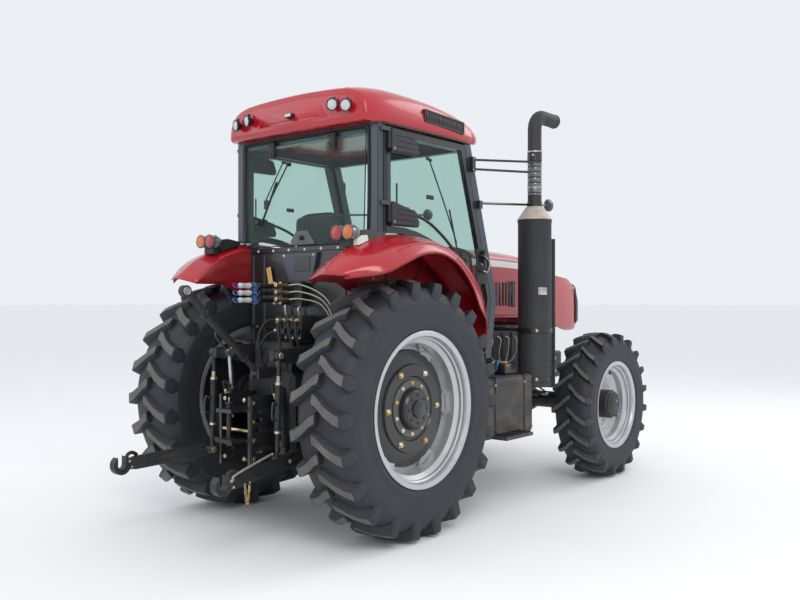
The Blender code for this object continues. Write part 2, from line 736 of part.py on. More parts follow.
def door_hinge_lugs(word, side):
    """Lugs on a rear pillar that the door's hinges turn on, above each hinge."""
    lugs = []
    for index, z in enumerate(HINGE_HEIGHTS):
        low = z + HINGE_HALF_HEIGHT + PIN_GAP
        lugs.append(cylinder(f"door_lug_{word}_{index}", at(HINGE_X, side * HINGE_Y, low),
                             at(HINGE_X, side * HINGE_Y, low + 0.026), 0.013, steps=12, helper=True))
        arm_ys = sorted((side * (CAB_HALF_WIDTH + 0.003), side * (HINGE_Y + 0.008)))
        lugs.append(box(f"door_lug_arm_{word}_{index}", at(CAB_REAR_X + 0.012, arm_ys[0], low + 0.0005),
                        at(HINGE_X, arm_ys[1], low + 0.0255), helper=True))
        root_ys = sorted((side * (CAB_HALF_WIDTH - 0.020), side * (CAB_HALF_WIDTH + 0.006)))
        lugs.append(box(f"door_lug_root_{word}_{index}", at(CAB_REAR_X + 0.013, root_ys[0], low + 0.001),
                        at(CAB_REAR_X + 0.060, root_ys[1], low + 0.025), helper=True))
    return lugs


def pillar_rear_edge(z):
    """Rear edge of the front pillar at a height."""
    line = pillar_outline()
    for (x1, z1), (x2, z2) in zip(line, line[1:]):
        if z2 <= z <= z1:
            return x1 + (x2 - x1) * (z1 - z) / (z1 - z2) - PILLAR_DEPTH / 2
    return line[-1][0] - PILLAR_DEPTH / 2


def door_outline(inset):
    """A door in side view, its lower rear edge following the fender."""
    rear = DOOR_REAR_X + inset
    foot = DOOR_FOOT_X + inset
    arc_r = DOOR_ARC_R + inset
    centre_x, centre_z = CREST_CENTRE
    points = [(rear, DOOR_TOP - inset)]
    points.append((pillar_rear_edge(DOOR_TOP) - DOOR_GAP - inset, DOOR_TOP - inset))
    points.append((pillar_rear_edge(WINDSCREEN_MID_Z) - DOOR_GAP - inset, WINDSCREEN_MID_Z))
    points.append((pillar_rear_edge(CAB_SILL_Z) - DOOR_GAP - inset, CAB_SILL_Z + inset))
    points.append((foot, CAB_SILL_Z + inset))
    first = math.acos((foot - centre_x) / arc_r)
    last = math.acos((rear - centre_x) / arc_r)
    steps = 8
    for step in range(steps + 1):
        turn = first + (last - first) * step / steps
        points.append((centre_x + arc_r * math.cos(turn), centre_z + arc_r * math.sin(turn)))
    return [(REAR_X + x, z) for x, z in points]


def build_doors():
    """Each door: a frame with its window cut, hinges on the rear pillar, and its pane."""
    for word, side in SIDES.items():
        middle = side * (CAB_HALF_WIDTH - DOOR_THICKNESS / 2)
        door = slab(f"door_{word}", door_outline(0), DOOR_THICKNESS, (0, middle, 0))
        hole = slab(f"door_window_{word}", door_outline(DOOR_FRAME), 3 * DOOR_THICKNESS, (0, middle, 0),
                    helper=True)
        combine(door, [hole], "DIFFERENCE")
        pieces = []
        for index, z in enumerate(HINGE_HEIGHTS):
            ys = sorted((side * (CAB_HALF_WIDTH - 0.010), side * (CAB_HALF_WIDTH + 0.028)))
            pieces.append(box(f"hinge_{word}_{index}", at(HINGE_X - 0.016, ys[0], z - HINGE_HALF_HEIGHT),
                              at(HINGE_X + 0.200, ys[1], z + HINGE_HALF_HEIGHT), helper=True))
        grip_ys = sorted((side * (CAB_HALF_WIDTH - 0.010), side * (CAB_HALF_WIDTH + 0.045)))
        grip_x = pillar_rear_edge(1.870) - DOOR_GAP - DOOR_FRAME
        pieces.append(box(f"door_grip_{word}", at(grip_x - 0.012, grip_ys[0], 1.820),
                          at(grip_x + 0.020, grip_ys[1], 1.920), helper=True))
        combine(door, pieces)
        set_origin(door, at(HINGE_X, side * HINGE_Y, 0))
        finish(door, "cab_dark")
        pane = slab(f"door_glass_{word}", door_outline(DOOR_FRAME + GAP), GLASS, (0, middle, 0))
        set_origin(pane, at(HINGE_X, side * HINGE_Y, 0))
        finish(pane, "glass")


REAR_HINGE_X = CAB_REAR_X - 0.018
REAR_GLASS_HALF = (0.573, 0.592)


def build_rear_window():
    """Frameless rear pane, hinged along its top edge."""
    x_out = CAB_REAR_X - GAP - GLASS
    x_in = CAB_REAR_X - GAP
    low_half, top_half = REAR_GLASS_HALF
    rings = [
        [at(x, y, z) for y, z in ((-low_half, REAR_GLASS_LOW), (low_half, REAR_GLASS_LOW),
                                  (top_half, REAR_GLASS_TOP), (-top_half, REAR_GLASS_TOP))]
        for x in (x_out, x_in)
    ]
    pane = loft("rear_window", rings)
    pieces = []
    for index, y in enumerate((-0.300, 0.300)):
        pieces.append(box(f"rear_hinge_{index}", at(x_out - 0.026, y - 0.035, REAR_GLASS_TOP - 0.110),
                          at(x_out + 0.004, y + 0.035, REAR_GLASS_TOP - 0.004), helper=True))
    pieces.append(box("rear_latch", at(x_out - 0.026, -0.070, REAR_GLASS_LOW + 0.006),
                      at(x_out + 0.004, 0.070, REAR_GLASS_LOW + 0.075), helper=True))
    combine(pane, pieces)
    set_origin(pane, at(REAR_HINGE_X, 0, REAR_GLASS_TOP))
    finish(pane, "glass")


# Driver's place

SEAT_X = 0.330
SEAT_Z = PLATFORM_TOP
STEER_HUB = (0.780, 1.920)
STEER_TILT = 55
STEER_R = 0.205
DASH_X = (0.900, 1.170)


def build_seat():
    """Seat cushion with its backrest, as one plain soft solid."""
    outline = [
        (SEAT_X + 0.260, SEAT_Z + 0.060), (SEAT_X + 0.260, SEAT_Z + 0.200), (SEAT_X - 0.080, SEAT_Z + 0.180),
        (SEAT_X - 0.170, SEAT_Z + 0.700), (SEAT_X - 0.270, SEAT_Z + 0.700), (SEAT_X - 0.220, SEAT_Z + 0.060),
    ]
    seat = slab("seat", [(REAR_X + x, z) for x, z in outline], 0.500, (0, 0, 0))
    finish(seat, "seat_fabric")
    base = box("seat_base", at(SEAT_X - 0.160, -0.180, SEAT_Z + GAP),
               at(SEAT_X + 0.200, 0.180, SEAT_Z + 0.060 - GAP))
    finish(base, "plastic")


def steer_axis():
    """Unit vector up the steering column, towards the driver."""
    tilt = math.radians(STEER_TILT)
    return Vector((-math.cos(tilt), 0, math.sin(tilt)))


def build_dashboard():
    """Console in front of the driver with the steering column on it."""
    outline = [
        (DASH_X[1], FLOOR_TOP + GAP), (DASH_X[1] + 0.02, 1.560), (DASH_X[1] - 0.030, 1.820),
        (DASH_X[0] + 0.070, 1.840), (DASH_X[0], 1.600), (DASH_X[0] + 0.020, FLOOR_TOP + GAP),
    ]
    console = slab("dashboard", [(REAR_X + x, z) for x, z in outline], 0.440, (0, 0, 0))
    hub = at(STEER_HUB[0], 0, STEER_HUB[1])
    foot = hub - steer_axis() * 0.300
    column = cylinder("column", foot, hub - steer_axis() * 0.004, 0.032, steps=16, helper=True)
    combine(console, [column])
    finish(console, "plastic")


def build_steering_wheel():
    """Steering wheel: rim, three spokes and hub."""
    profile = [(STEER_R + 0.014 * math.cos(turn), 0.014 * math.sin(turn))
               for turn in (2 * math.pi * index / 8 for index in range(8))]
    wheel = turned("steering_wheel", list(reversed(profile)), 28, closed=True)
    hub = turned("steer_hub", [(0.0, 0.012), (0.045, 0.012), (0.045, -0.022), (0.0, -0.022)], 20, helper=True)
    pieces = [hub]
    for index in range(3):
        turn = math.radians(97 + 120 * index)
        out = Vector((math.cos(turn), math.sin(turn), 0))
        pieces.append(cylinder(f"spoke_{index}", out * 0.030, out * (STEER_R - 0.003), 0.009,
                               steps=7, helper=True))
    tilt = Vector((0, 0, 1)).rotation_difference(steer_axis())
    centre = at(STEER_HUB[0], 0, STEER_HUB[1]) + steer_axis() * (0.022 - 0.004 + PIN_GAP)
    place = Matrix.Translation(centre) @ tilt.to_matrix().to_4x4()
    for piece in [wheel] + pieces:
        piece.matrix_world = place @ piece.matrix_basis
    combine(wheel, pieces)
    finish(wheel, "plastic")


# Bonnet and nose

BONNET_HINGE = (BONNET_REAR_X + 0.030, BONNET_TOP - 0.030)
NOSE_X = WHEELBASE + FRONT_OVERHANG


def bonnet_row(x, half, low, top, crown):
    """One cross-section of the bonnet, open below."""
    points = [(half, low), (half, low + (top - low) * 0.55), (half * 0.965, top - 0.075),
              (half * 0.86, top - 0.018),
              (half * 0.55, top + crown * 0.7), (0.0, top + crown)]
    row = points + [(-y, z) for y, z in reversed(points[:-1])]
    return [at(x, y, z) for y, z in row]


def build_bonnet():
    """One-piece tilting bonnet, from the cab to the nose."""
    rows = [
        bonnet_row(BONNET_REAR_X, BONNET_HALF_WIDTH, BONNET_LOW, BONNET_TOP, 0.030),
        bonnet_row(2.000, BONNET_HALF_WIDTH, BONNET_LOW, BONNET_TOP - 0.005, 0.030),
        bonnet_row(2.600, BONNET_HALF_WIDTH - 0.015, BONNET_LOW - 0.020, BONNET_TOP - 0.045, 0.028),
        bonnet_row(3.050, BONNET_HALF_WIDTH - 0.050, BONNET_LOW - 0.130, BONNET_TOP - 0.115, 0.025),
        bonnet_row(3.300, BONNET_HALF_WIDTH - 0.080, BONNET_LOW - 0.140, BONNET_TOP - 0.185, 0.020),
        bonnet_row(3.400, BONNET_HALF_WIDTH - 0.100, BONNET_LOW - 0.120, BONNET_TOP - 0.235, 0.015),
    ]
    bonnet = sheet("bonnet", rows, BONNET_SHEET)
    finish(bonnet, "red_paint", 40)


def build_grille():
    """Rounded nose with the lamps and the grille, carried by the bonnet."""
    def ring(x, half, low, top):
        """One rounded cross-section of the nose."""
        points = [(half, low + 0.03), (half, top - 0.10), (half * 0.85, top - 0.02), (half * 0.45, top)]
        return [at(x, y, z) for y, z in points + [(-y, z) for y, z in reversed(points)]]
    half = BONNET_HALF_WIDTH - 0.100
    low = BONNET_LOW - 0.120
    top = BONNET_TOP - 0.222
    rings = [
        ring(3.400 + GAP, half, low, top),
        ring(3.480, half - 0.010, low + 0.010, top - 0.030),
        ring(3.550, half - 0.050, low + 0.040, top - 0.090),
        ring(NOSE_X, half - 0.120, low + 0.090, top - 0.190),
    ]
    finish(loft("grille", rings), "plastic", 40)


# Exhaust and mirrors

def build_exhaust():
    """Tall silencer with a cone, tail pipe and elbow, on a bracket from the engine."""
    profile = [
        (0.0, MUFFLER_HIGH + 0.105), (PIPE_R, MUFFLER_HIGH + 0.105), (PIPE_R + 0.004, MUFFLER_HIGH + 0.090),
        (MUFFLER_R, MUFFLER_HIGH), (MUFFLER_R, MUFFLER_LOW + 0.010), (MUFFLER_R - 0.010, MUFFLER_LOW),
        (0.0, MUFFLER_LOW),
    ]
    muffler = turned("muffler", profile, 32)
    muffler.location = at(MUFFLER_X, MUFFLER_Y, 0)
    shield_x = MUFFLER_X + MUFFLER_R - 0.004
    shield = box("heat_shield", at(shield_x, MUFFLER_Y - 0.110, MUFFLER_LOW - 0.020),
                 at(shield_x + 0.012, MUFFLER_Y + 0.110, MUFFLER_HIGH - 0.165), helper=True)
    pieces = [shield]
    for index, z in enumerate((0.900, 1.300)):
        pieces.append(box(f"muffler_bracket_{index}",
                          at(MUFFLER_X - 0.040, MUFFLER_Y + MUFFLER_R - 0.020, z),
                          at(MUFFLER_X + 0.040, -ENGINE_HALF_WIDTH - GAP, z + 0.020), helper=True))
    combine(muffler, pieces)
    finish(muffler, "muffler_grey")
    foot = MUFFLER_HIGH + 0.105 + GAP
    line = [(0, 0, foot), (0, 0, PIPE_TOP), (0.330, 0, PIPE_TOP + 0.040)]
    path = [at(MUFFLER_X, MUFFLER_Y, 0) + Vector(point) for point in bend(line, 0.120, 5)]
    pipe = tube("exhaust_pipe", path, PIPE_R, sides=5)
    finish(pipe, "muffler_grey", 50)


def build_mirrors():
    """Bare mirror arm above and small mirror on its arm below, on each front pillar."""
    for word, side in SIDES.items():
        face_y = CAB_HALF_WIDTH + GAP
        top_z = CAB_TOP - 0.150
        low_z = CAB_TOP - 0.450
        top_x = pillar_rear_edge(top_z) + PILLAR_DEPTH / 2
        low_x = pillar_rear_edge(low_z) + PILLAR_DEPTH / 2
        ys = sorted((side * face_y, side * (face_y + 0.030)))
        upper = box(f"mirror_arm_{word}", at(top_x - 0.020, ys[0], top_z - 0.060),
                    at(top_x + 0.020, ys[1], top_z + 0.050))
        start = (top_x + 0.010, side * (face_y + 0.020))
        reach = (top_x + 0.430, side * (face_y + 0.280))
        loop = [(*start, top_z + 0.030), (*reach, top_z + 0.040),
                (*reach, top_z - 0.040), (*start, top_z - 0.040)]
        loop = bend([at(*point) for point in loop], 0.030, 3)
        combine(upper, [tube(f"mirror_loop_{word}", loop, 0.009, sides=2, helper=True)])
        finish(upper, "black_paint")
        small = box(f"small_mirror_{word}", at(low_x - 0.020, ys[0], low_z - 0.030),
                    at(low_x + 0.020, ys[1], low_z + 0.030))
        head = at(low_x + 1.160, side * (face_y - 0.045), low_z + 0.098)
        root = at(low_x + 0.010, side * (face_y + 0.015), low_z + 0.012)
        arm = tube(f"small_mirror_arm_{word}", [root, head], 0.010, sides=2, helper=True)
        bm = bmesh.new()
        bmesh.ops.create_uvsphere(bm, u_segments=14, v_segments=8, radius=1.0)
        bmesh.ops.scale(bm, vec=(0.070, 0.028, 0.055), verts=bm.verts)
        glass = add_mesh(f"small_mirror_head_{word}", bm, head, helper=True)
        combine(small, [arm, glass])
        finish(small, "black_paint")


# Bonnet carrier

HINGE_TAB_Y = 0.200
HINGE_TAB = 0.030


def build_firewall():
    """Upright behind the engine, with the lugs that the bonnet hinges on."""
    wall_front = BONNET_REAR_X - RUNNING_GAP
    wall = box("firewall", at(wall_front - 0.030, -0.340, GEARBOX_Z[1] + GAP),
               at(wall_front, 0.340, BONNET_TOP - 0.060))
    lugs = []
    tab_out = HINGE_TAB_Y + HINGE_TAB
    for word, side in SIDES.items():
        ys = (side * (tab_out + PIN_GAP), side * (tab_out + PIN_GAP + 0.030))
        pin = at(BONNET_HINGE[0], 0, BONNET_HINGE[1])
        lugs.append(cylinder(f"bonnet_lug_{word}", pin + Vector((0, ys[0], 0)), pin + Vector((0, ys[1], 0)), 0.022,
                             steps=16, helper=True))
        arm_in, arm_out = min(ys) + 0.0005, max(ys) - 0.0005
        arm_low = BONNET_TOP - 0.120
        lugs.append(box(f"bonnet_lug_arm_{word}", at(wall_front - 0.020, arm_in, arm_low),
                        at(BONNET_HINGE[0] + 0.012, arm_out, BONNET_HINGE[1] - 0.020), helper=True))
        lugs.append(box(f"bonnet_lug_post_{word}", at(BONNET_HINGE[0] - 0.012, arm_in + 0.001, arm_low + 0.010),
                        at(BONNET_HINGE[0] + 0.011, arm_out - 0.001, BONNET_HINGE[1]), helper=True))
    combine(wall, lugs)
    finish(wall, "black_paint")


def add_bonnet_tabs():
    """Hinge tabs under the bonnet's rear edge."""
    tabs = []
    for word, side in SIDES.items():
        ys = sorted((side * HINGE_TAB_Y, side * (HINGE_TAB_Y + HINGE_TAB)))
        tabs.append(box(f"bonnet_tab_{word}", at(BONNET_HINGE[0] - 0.020, ys[0], BONNET_HINGE[1] - 0.020),
                        at(BONNET_HINGE[0] + 0.020, ys[1], BONNET_TOP + 0.006), helper=True))
    combine(bpy.data.objects["bonnet"], tabs)
    bpy.context.view_layer.update()
    set_origin(bpy.data.objects["bonnet"], at(BONNET_HINGE[0], 0, BONNET_HINGE[1]))
    set_origin(bpy.data.objects["grille"], at(BONNET_HINGE[0], 0, BONNET_HINGE[1]))


# Rear hitch

BRACKET_PLATE = 0.020
BRACKET_X = (-0.720, -0.4203)
BRACKET_Z = (0.465, 0.925)
CYLINDER_FOOT = (-0.500, 0.500)
CYLINDER_TOP = (-0.560, 1.187)
ARM_IN_Y = 0.262
ARM_OUT_Y = 0.300
ROD_FOOT = (-0.643, 0.530)
EYE_WIDTH = 0.040
TOP_LINK_FOOT = (-0.517, 1.057)
TOP_LINK_END = (-1.113, 1.600)
SHAFT_R = 0.034


def eye(name, flat, y_from, y_to, radius, helper=True):
    """A round boss or eye along Y at a point in side view."""
    return cylinder(name, at(flat[0], y_from, flat[1]), at(flat[0], y_to, flat[1]), radius, steps=20, helper=helper)


def build_rockshaft_housing():
    """Lift housing on the rear axle: bearing blocks, link bosses and top link ears."""
    core = bpy.data.objects["rear_axle_housing"]
    pieces = []
    pieces.append(box("lift_housing", at(-0.380, -0.180, AXLE_HOUSING_Z[1] - 0.040), at(-0.060, 0.180, ROCKER_Z + 0.090),
                      helper=True))
    for word, side in SIDES.items():
        pieces.append(eye(f"link_boss_{word}", (LINK_FRONT_X, LINK_FRONT_Z), side * 0.200,
                          side * (LINK_FRONT_Y - EYE_WIDTH / 2 - PIN_GAP), 0.040))
        ys = sorted((side * (EYE_WIDTH / 2 + PIN_GAP), side * (EYE_WIDTH / 2 + 0.022)))
        pieces.append(box(f"top_link_ear_{word}", at(TOP_LINK_FOOT[0] - 0.030, ys[0], TOP_LINK_FOOT[1] - 0.035),
                          at(AXLE_HOUSING_X[0] + 0.060, ys[1], TOP_LINK_FOOT[1] + 0.035), helper=True))
    combine(core, pieces)
    bore = eye("shaft_bore", (ROCKER_X, ROCKER_Z), -0.300, 0.300, SHAFT_R + 0.0008)
    combine(core, [bore], "DIFFERENCE")


def build_lift_arms():
    """Rocker shaft with a lift arm on each end."""
    shaft = eye("lift_arms", (ROCKER_X, ROCKER_Z), -ARM_OUT_Y + 0.001, ARM_OUT_Y - 0.001, SHAFT_R, helper=False)
    pieces = []
    for word, side in SIDES.items():
        outline = [(ROCKER_X + 0.055, ROCKER_Z - 0.050), (ROCKER_X + 0.055, ROCKER_Z + 0.050),
                   (ROCKER_X - 0.020, ROCKER_Z + 0.075), (ROCKER_TIP_X - 0.030, ROCKER_TIP_Z + 0.032),
                   (ROCKER_TIP_X - 0.030, ROCKER_TIP_Z - 0.032), (ROCKER_X - 0.020, ROCKER_Z - 0.075)]
        pieces.append(slab(f"lift_arm_{word}", [(REAR_X + x, z) for x, z in outline], ARM_OUT_Y - ARM_IN_Y,
                           (0, side * (ARM_OUT_Y + ARM_IN_Y) / 2, 0), helper=True))
    combine(shaft, pieces)
    bpy.context.view_layer.update()
    set_origin(shaft, at(ROCKER_X, 0, ROCKER_Z))
    finish(shaft, "black_paint")


def build_lift_rods():
    """A rod hanging from each lift arm, with its turnbuckle, down beside the lower link."""
    for word, side in SIDES.items():
        inner = side * (ARM_OUT_Y + PIN_GAP)
        outer = side * (ARM_OUT_Y + PIN_GAP + EYE_WIDTH)
        middle = (inner + outer) / 2
        top = (ROCKER_TIP_X, ROCKER_TIP_Z)
        rod = eye(f"lift_rod_{word}", top, inner, outer, 0.030, helper=False)
        low = eye(f"rod_foot_{word}", ROD_FOOT, inner, outer, 0.030)
        start = at(top[0], middle, top[1])
        end = at(ROD_FOOT[0], middle, ROD_FOOT[1])
        bar = cylinder(f"rod_bar_{word}", start, end, 0.014, steps=12, helper=True)
        nut = cylinder(f"rod_nut_{word}", start.lerp(end, 0.30), start.lerp(end, 0.72), 0.021, steps=12, helper=True)
        combine(rod, [low, bar, nut])
        bpy.context.view_layer.update()
        set_origin(rod, start)
        finish(rod, "black_paint")


def build_lower_links():
    """Lower links, each with a ball eye in front and an open hook behind."""
    hook_x = -REAR_OVERHANG + HOOK_R
    for word, side in SIDES.items():
        half = EYE_WIDTH / 2
        link = eye(f"lower_link_{word}", (LINK_FRONT_X, LINK_FRONT_Z), side * (LINK_FRONT_Y - half),
                   side * (LINK_FRONT_Y + half), 0.045, helper=False)
        rings = []
        for x, y, z, tall in ((LINK_FRONT_X - 0.010, LINK_FRONT_Y, LINK_FRONT_Z, 0.030),
                              (LINK_FRONT_X - 0.120, LINK_FRONT_Y + 0.018, LINK_FRONT_Z - 0.010, 0.042),
                              (hook_x + 0.100, HOOK_Y - 0.012, HOOK_Z + 0.004, 0.042),
                              (hook_x + HOOK_R * 0.55, HOOK_Y, HOOK_Z, 0.030)):
            thick = LINK_THICKNESS / 2
            ring = [at(x, side * (y - thick), z - tall), at(x, side * (y + thick), z - tall),
                    at(x, side * (y + thick), z + tall), at(x, side * (y - thick), z + tall)]
            rings.append(ring)
        bar = loft(f"link_bar_{word}", rings, helper=True)
        share = (ROD_FOOT[0] - LINK_FRONT_X) / (hook_x - LINK_FRONT_X)
        boss_y = LINK_FRONT_Y + (HOOK_Y - LINK_FRONT_Y) * share
        rod_face = ARM_OUT_Y + 2 * PIN_GAP + EYE_WIDTH
        boss = eye(f"link_stud_{word}", ROD_FOOT, side * rod_face, side * boss_y, 0.024)
        hook_ys = (side * (HOOK_Y - 0.026), side * (HOOK_Y + 0.026))
        hook = eye(f"hook_{word}", (hook_x, HOOK_Z), hook_ys[0], hook_ys[1], HOOK_R)
        combine(link, [bar, boss, hook])
        throat = eye(f"hook_throat_{word}", (hook_x - 0.004, HOOK_Z + 0.004), side * (HOOK_Y - 0.05),
                     side * (HOOK_Y + 0.05), 0.030)
        mouth_ys = sorted((side * (HOOK_Y - 0.05), side * (HOOK_Y + 0.05)))
        mouth = box(f"hook_mouth_{word}", at(hook_x - 0.034, mouth_ys[0], HOOK_Z + 0.006),
                    at(hook_x + 0.026, mouth_ys[1], HOOK_Z + 0.090), helper=True)
        combine(link, [throat, mouth], "DIFFERENCE")
        bpy.context.view_layer.update()
        set_origin(link, at(LINK_FRONT_X, side * LINK_FRONT_Y, LINK_FRONT_Z))
        finish(link, "black_paint")


def build_top_link():
    """Top link with its two eyes, stored raised."""
    half = EYE_WIDTH / 2
    link = eye("top_link", TOP_LINK_FOOT, -half, half, 0.034, helper=False)
    far = eye("top_link_end", TOP_LINK_END, -half, half, 0.036)
    start = at(TOP_LINK_FOOT[0], 0, TOP_LINK_FOOT[1])
    end = at(TOP_LINK_END[0], 0, TOP_LINK_END[1])
    bar = cylinder("top_link_bar", start, end, 0.017, steps=14, helper=True)
    sleeve = cylinder("top_link_sleeve", start.lerp(end, 0.20), start.lerp(end, 0.72), 0.026, steps=14, helper=True)
    combine(link, [far, bar, sleeve])
    bore = eye("top_link_bore", TOP_LINK_END, -half - 0.02, half + 0.02, 0.0125)
    combine(link, [bore], "DIFFERENCE")
    bpy.context.view_layer.update()
    set_origin(link, start)
    finish(link, "black_paint")


def build_lift_cylinders():
    """Two assist cylinders: barrel hinged below, rod sliding up to its eye at the lift arm."""
    outer = ARM_IN_Y - PIN_GAP
    inner = outer - EYE_WIDTH
    middle = (outer + inner) / 2
    for word, side in SIDES.items():
        foot = at(CYLINDER_FOOT[0], side * middle, CYLINDER_FOOT[1])
        top = at(CYLINDER_TOP[0], side * middle, CYLINDER_TOP[1])
        barrel = eye(f"lift_cylinder_{word}", CYLINDER_FOOT, side * inner, side * outer, 0.030, helper=False)
        neck = cylinder(f"barrel_neck_{word}", foot, foot.lerp(top, 0.10), EYE_WIDTH / 2 - 0.001, steps=12, helper=True)
        body = cylinder(f"barrel_{word}", foot.lerp(top, 0.09), foot.lerp(top, 0.68), 0.034, steps=16, helper=True)
        combine(barrel, [neck, body])
        bore = cylinder(f"barrel_bore_{word}", foot.lerp(top, 0.20), foot.lerp(top, 0.90), 0.0158, steps=16,
                        helper=True)
        combine(barrel, [bore], "DIFFERENCE")
        bpy.context.view_layer.update()
        set_origin(barrel, foot)
        finish(barrel, "black_paint")
        rod = eye(f"cylinder_rod_{word}", CYLINDER_TOP, side * inner, side * outer, 0.028, helper=False)
        stem = cylinder(f"stem_{word}", foot.lerp(top, 0.38), top, 0.0150, steps=16, helper=True)
        combine(rod, [stem])
        bpy.context.view_layer.update()
        set_origin(rod, top)
        finish(rod, "steel")


def build_drawbar_bracket():
    """Two slotted side plates with the towing clevis between them."""
    low, high = BRACKET_Z
    rear, front = BRACKET_X
    half = BRACKET_HALF_WIDTH
    bracket = box("drawbar_bracket", at(front - 0.030, -half - 0.001, low + 0.060), at(front, half + 0.001, high - 0.02))
    pieces = []
    for word, side in SIDES.items():
        ys = sorted((side * half, side * (half + BRACKET_PLATE)))
        pieces.append(box(f"side_plate_{word}", at(rear, ys[0], low), at(front - 0.0005, ys[1], high), helper=True))
        pieces.append(eye(f"cylinder_boss_{word}", CYLINDER_FOOT, side * (half + 0.005),
                          side * (ARM_IN_Y - 2 * PIN_GAP - EYE_WIDTH), 0.026))
    for index, z in enumerate((0.635, 0.831)):
        pieces.append(box(f"clevis_plate_{index}", at(rear - 0.090, -0.075, z - 0.012), at(front - 0.010, 0.075, z + 0.012),
                          helper=True))
        pieces.append(box(f"clevis_web_{index}", at(rear + 0.020, -half - 0.002, z - 0.011),
                          at(front - 0.012, half + 0.002, z + 0.011), helper=True))
    combine(bracket, pieces)
    holes = [cylinder("drawbar_pin_hole", at(rear - 0.045, 0, 0.50), at(rear - 0.045, 0, 0.95), 0.017, steps=16,
                      helper=True)]
    for index, z in enumerate((0.560, 0.700, 0.770)):
        holes.append(box(f"plate_slot_{index}", at(rear + 0.050, -0.300, z - 0.010), at(rear + 0.105, 0.300, z + 0.010),
                         helper=True))
    combine(bracket, holes, "DIFFERENCE")
    finish(bracket, "black_paint")


COUPLER_Y = 0.120
COUPLER_HEIGHTS = (1.545, 1.594, 1.643)


def build_couplers():
    """Valve block on the cab's rear wall with three couplings pointing back."""
    block_x = CAB_REAR_X + 0.001 - GAP
    block = box("remote_couplers", at(block_x - 0.140, COUPLER_Y - 0.045, COUPLER_HEIGHTS[0] - 0.035),
                at(block_x, COUPLER_Y + 0.045, COUPLER_HEIGHTS[-1] + 0.030))
    pipes = [cylinder(f"coupler_{index}", at(-0.590, COUPLER_Y, z), at(block_x - 0.100, COUPLER_Y, z), 0.018, steps=14,
                      helper=True) for index, z in enumerate(COUPLER_HEIGHTS)]
    combine(block, pipes)
    finish(block, "black_paint")


def main():
    """Build the whole tractor."""
    clear_scene()
    build_wheels()
    build_rear_axle()
    build_rockshaft_housing()
    build_driveline()
    build_front_axle()
    build_knuckles()
    build_tanks()
    build_cab_floor()
    build_cab_frame()
    build_glass()
    build_roof()
    build_fenders()
    build_doors()
    build_rear_window()
    build_seat()
    build_dashboard()
    build_steering_wheel()
    build_bonnet()
    build_grille()
    build_firewall()
    add_bonnet_tabs()
    build_exhaust()
    build_mirrors()
    build_lift_arms()
    build_lift_rods()
    build_lower_links()
    build_top_link()
    build_lift_cylinders()
    build_drawbar_bracket()
    build_couplers()


main()
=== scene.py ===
"""Farm tractor: fine surfaces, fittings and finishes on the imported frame."""

import logging
import math
from dataclasses import dataclass
from enum import Enum
from typing import Callable, Iterable, Sequence, Union

import bmesh
import bpy
from mathutils import Matrix, Vector

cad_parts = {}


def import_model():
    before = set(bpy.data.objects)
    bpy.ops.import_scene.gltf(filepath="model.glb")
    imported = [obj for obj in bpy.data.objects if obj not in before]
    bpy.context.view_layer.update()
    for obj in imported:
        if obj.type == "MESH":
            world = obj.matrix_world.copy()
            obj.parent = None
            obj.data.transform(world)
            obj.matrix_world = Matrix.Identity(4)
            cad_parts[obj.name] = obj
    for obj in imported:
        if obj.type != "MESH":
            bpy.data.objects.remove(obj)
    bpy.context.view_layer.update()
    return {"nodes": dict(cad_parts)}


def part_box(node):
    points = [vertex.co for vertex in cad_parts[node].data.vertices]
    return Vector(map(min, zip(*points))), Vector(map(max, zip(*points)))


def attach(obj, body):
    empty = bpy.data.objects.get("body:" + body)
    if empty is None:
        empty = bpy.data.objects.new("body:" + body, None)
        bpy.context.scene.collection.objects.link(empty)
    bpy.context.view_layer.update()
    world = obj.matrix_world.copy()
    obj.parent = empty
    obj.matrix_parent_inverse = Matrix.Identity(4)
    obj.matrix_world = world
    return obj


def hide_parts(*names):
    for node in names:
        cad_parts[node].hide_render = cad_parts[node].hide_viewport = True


LOG = logging.getLogger("tractor")
REAR_AXLE_X = -1.15
SIDES = {"left": 1, "right": -1}
Point = Sequence[float]


def at(x: float, y: float, z: float) -> Vector:
    """A point whose x is measured from the rear axle."""
    return Vector((REAR_AXLE_X + x, y, z))


# Shader expressions

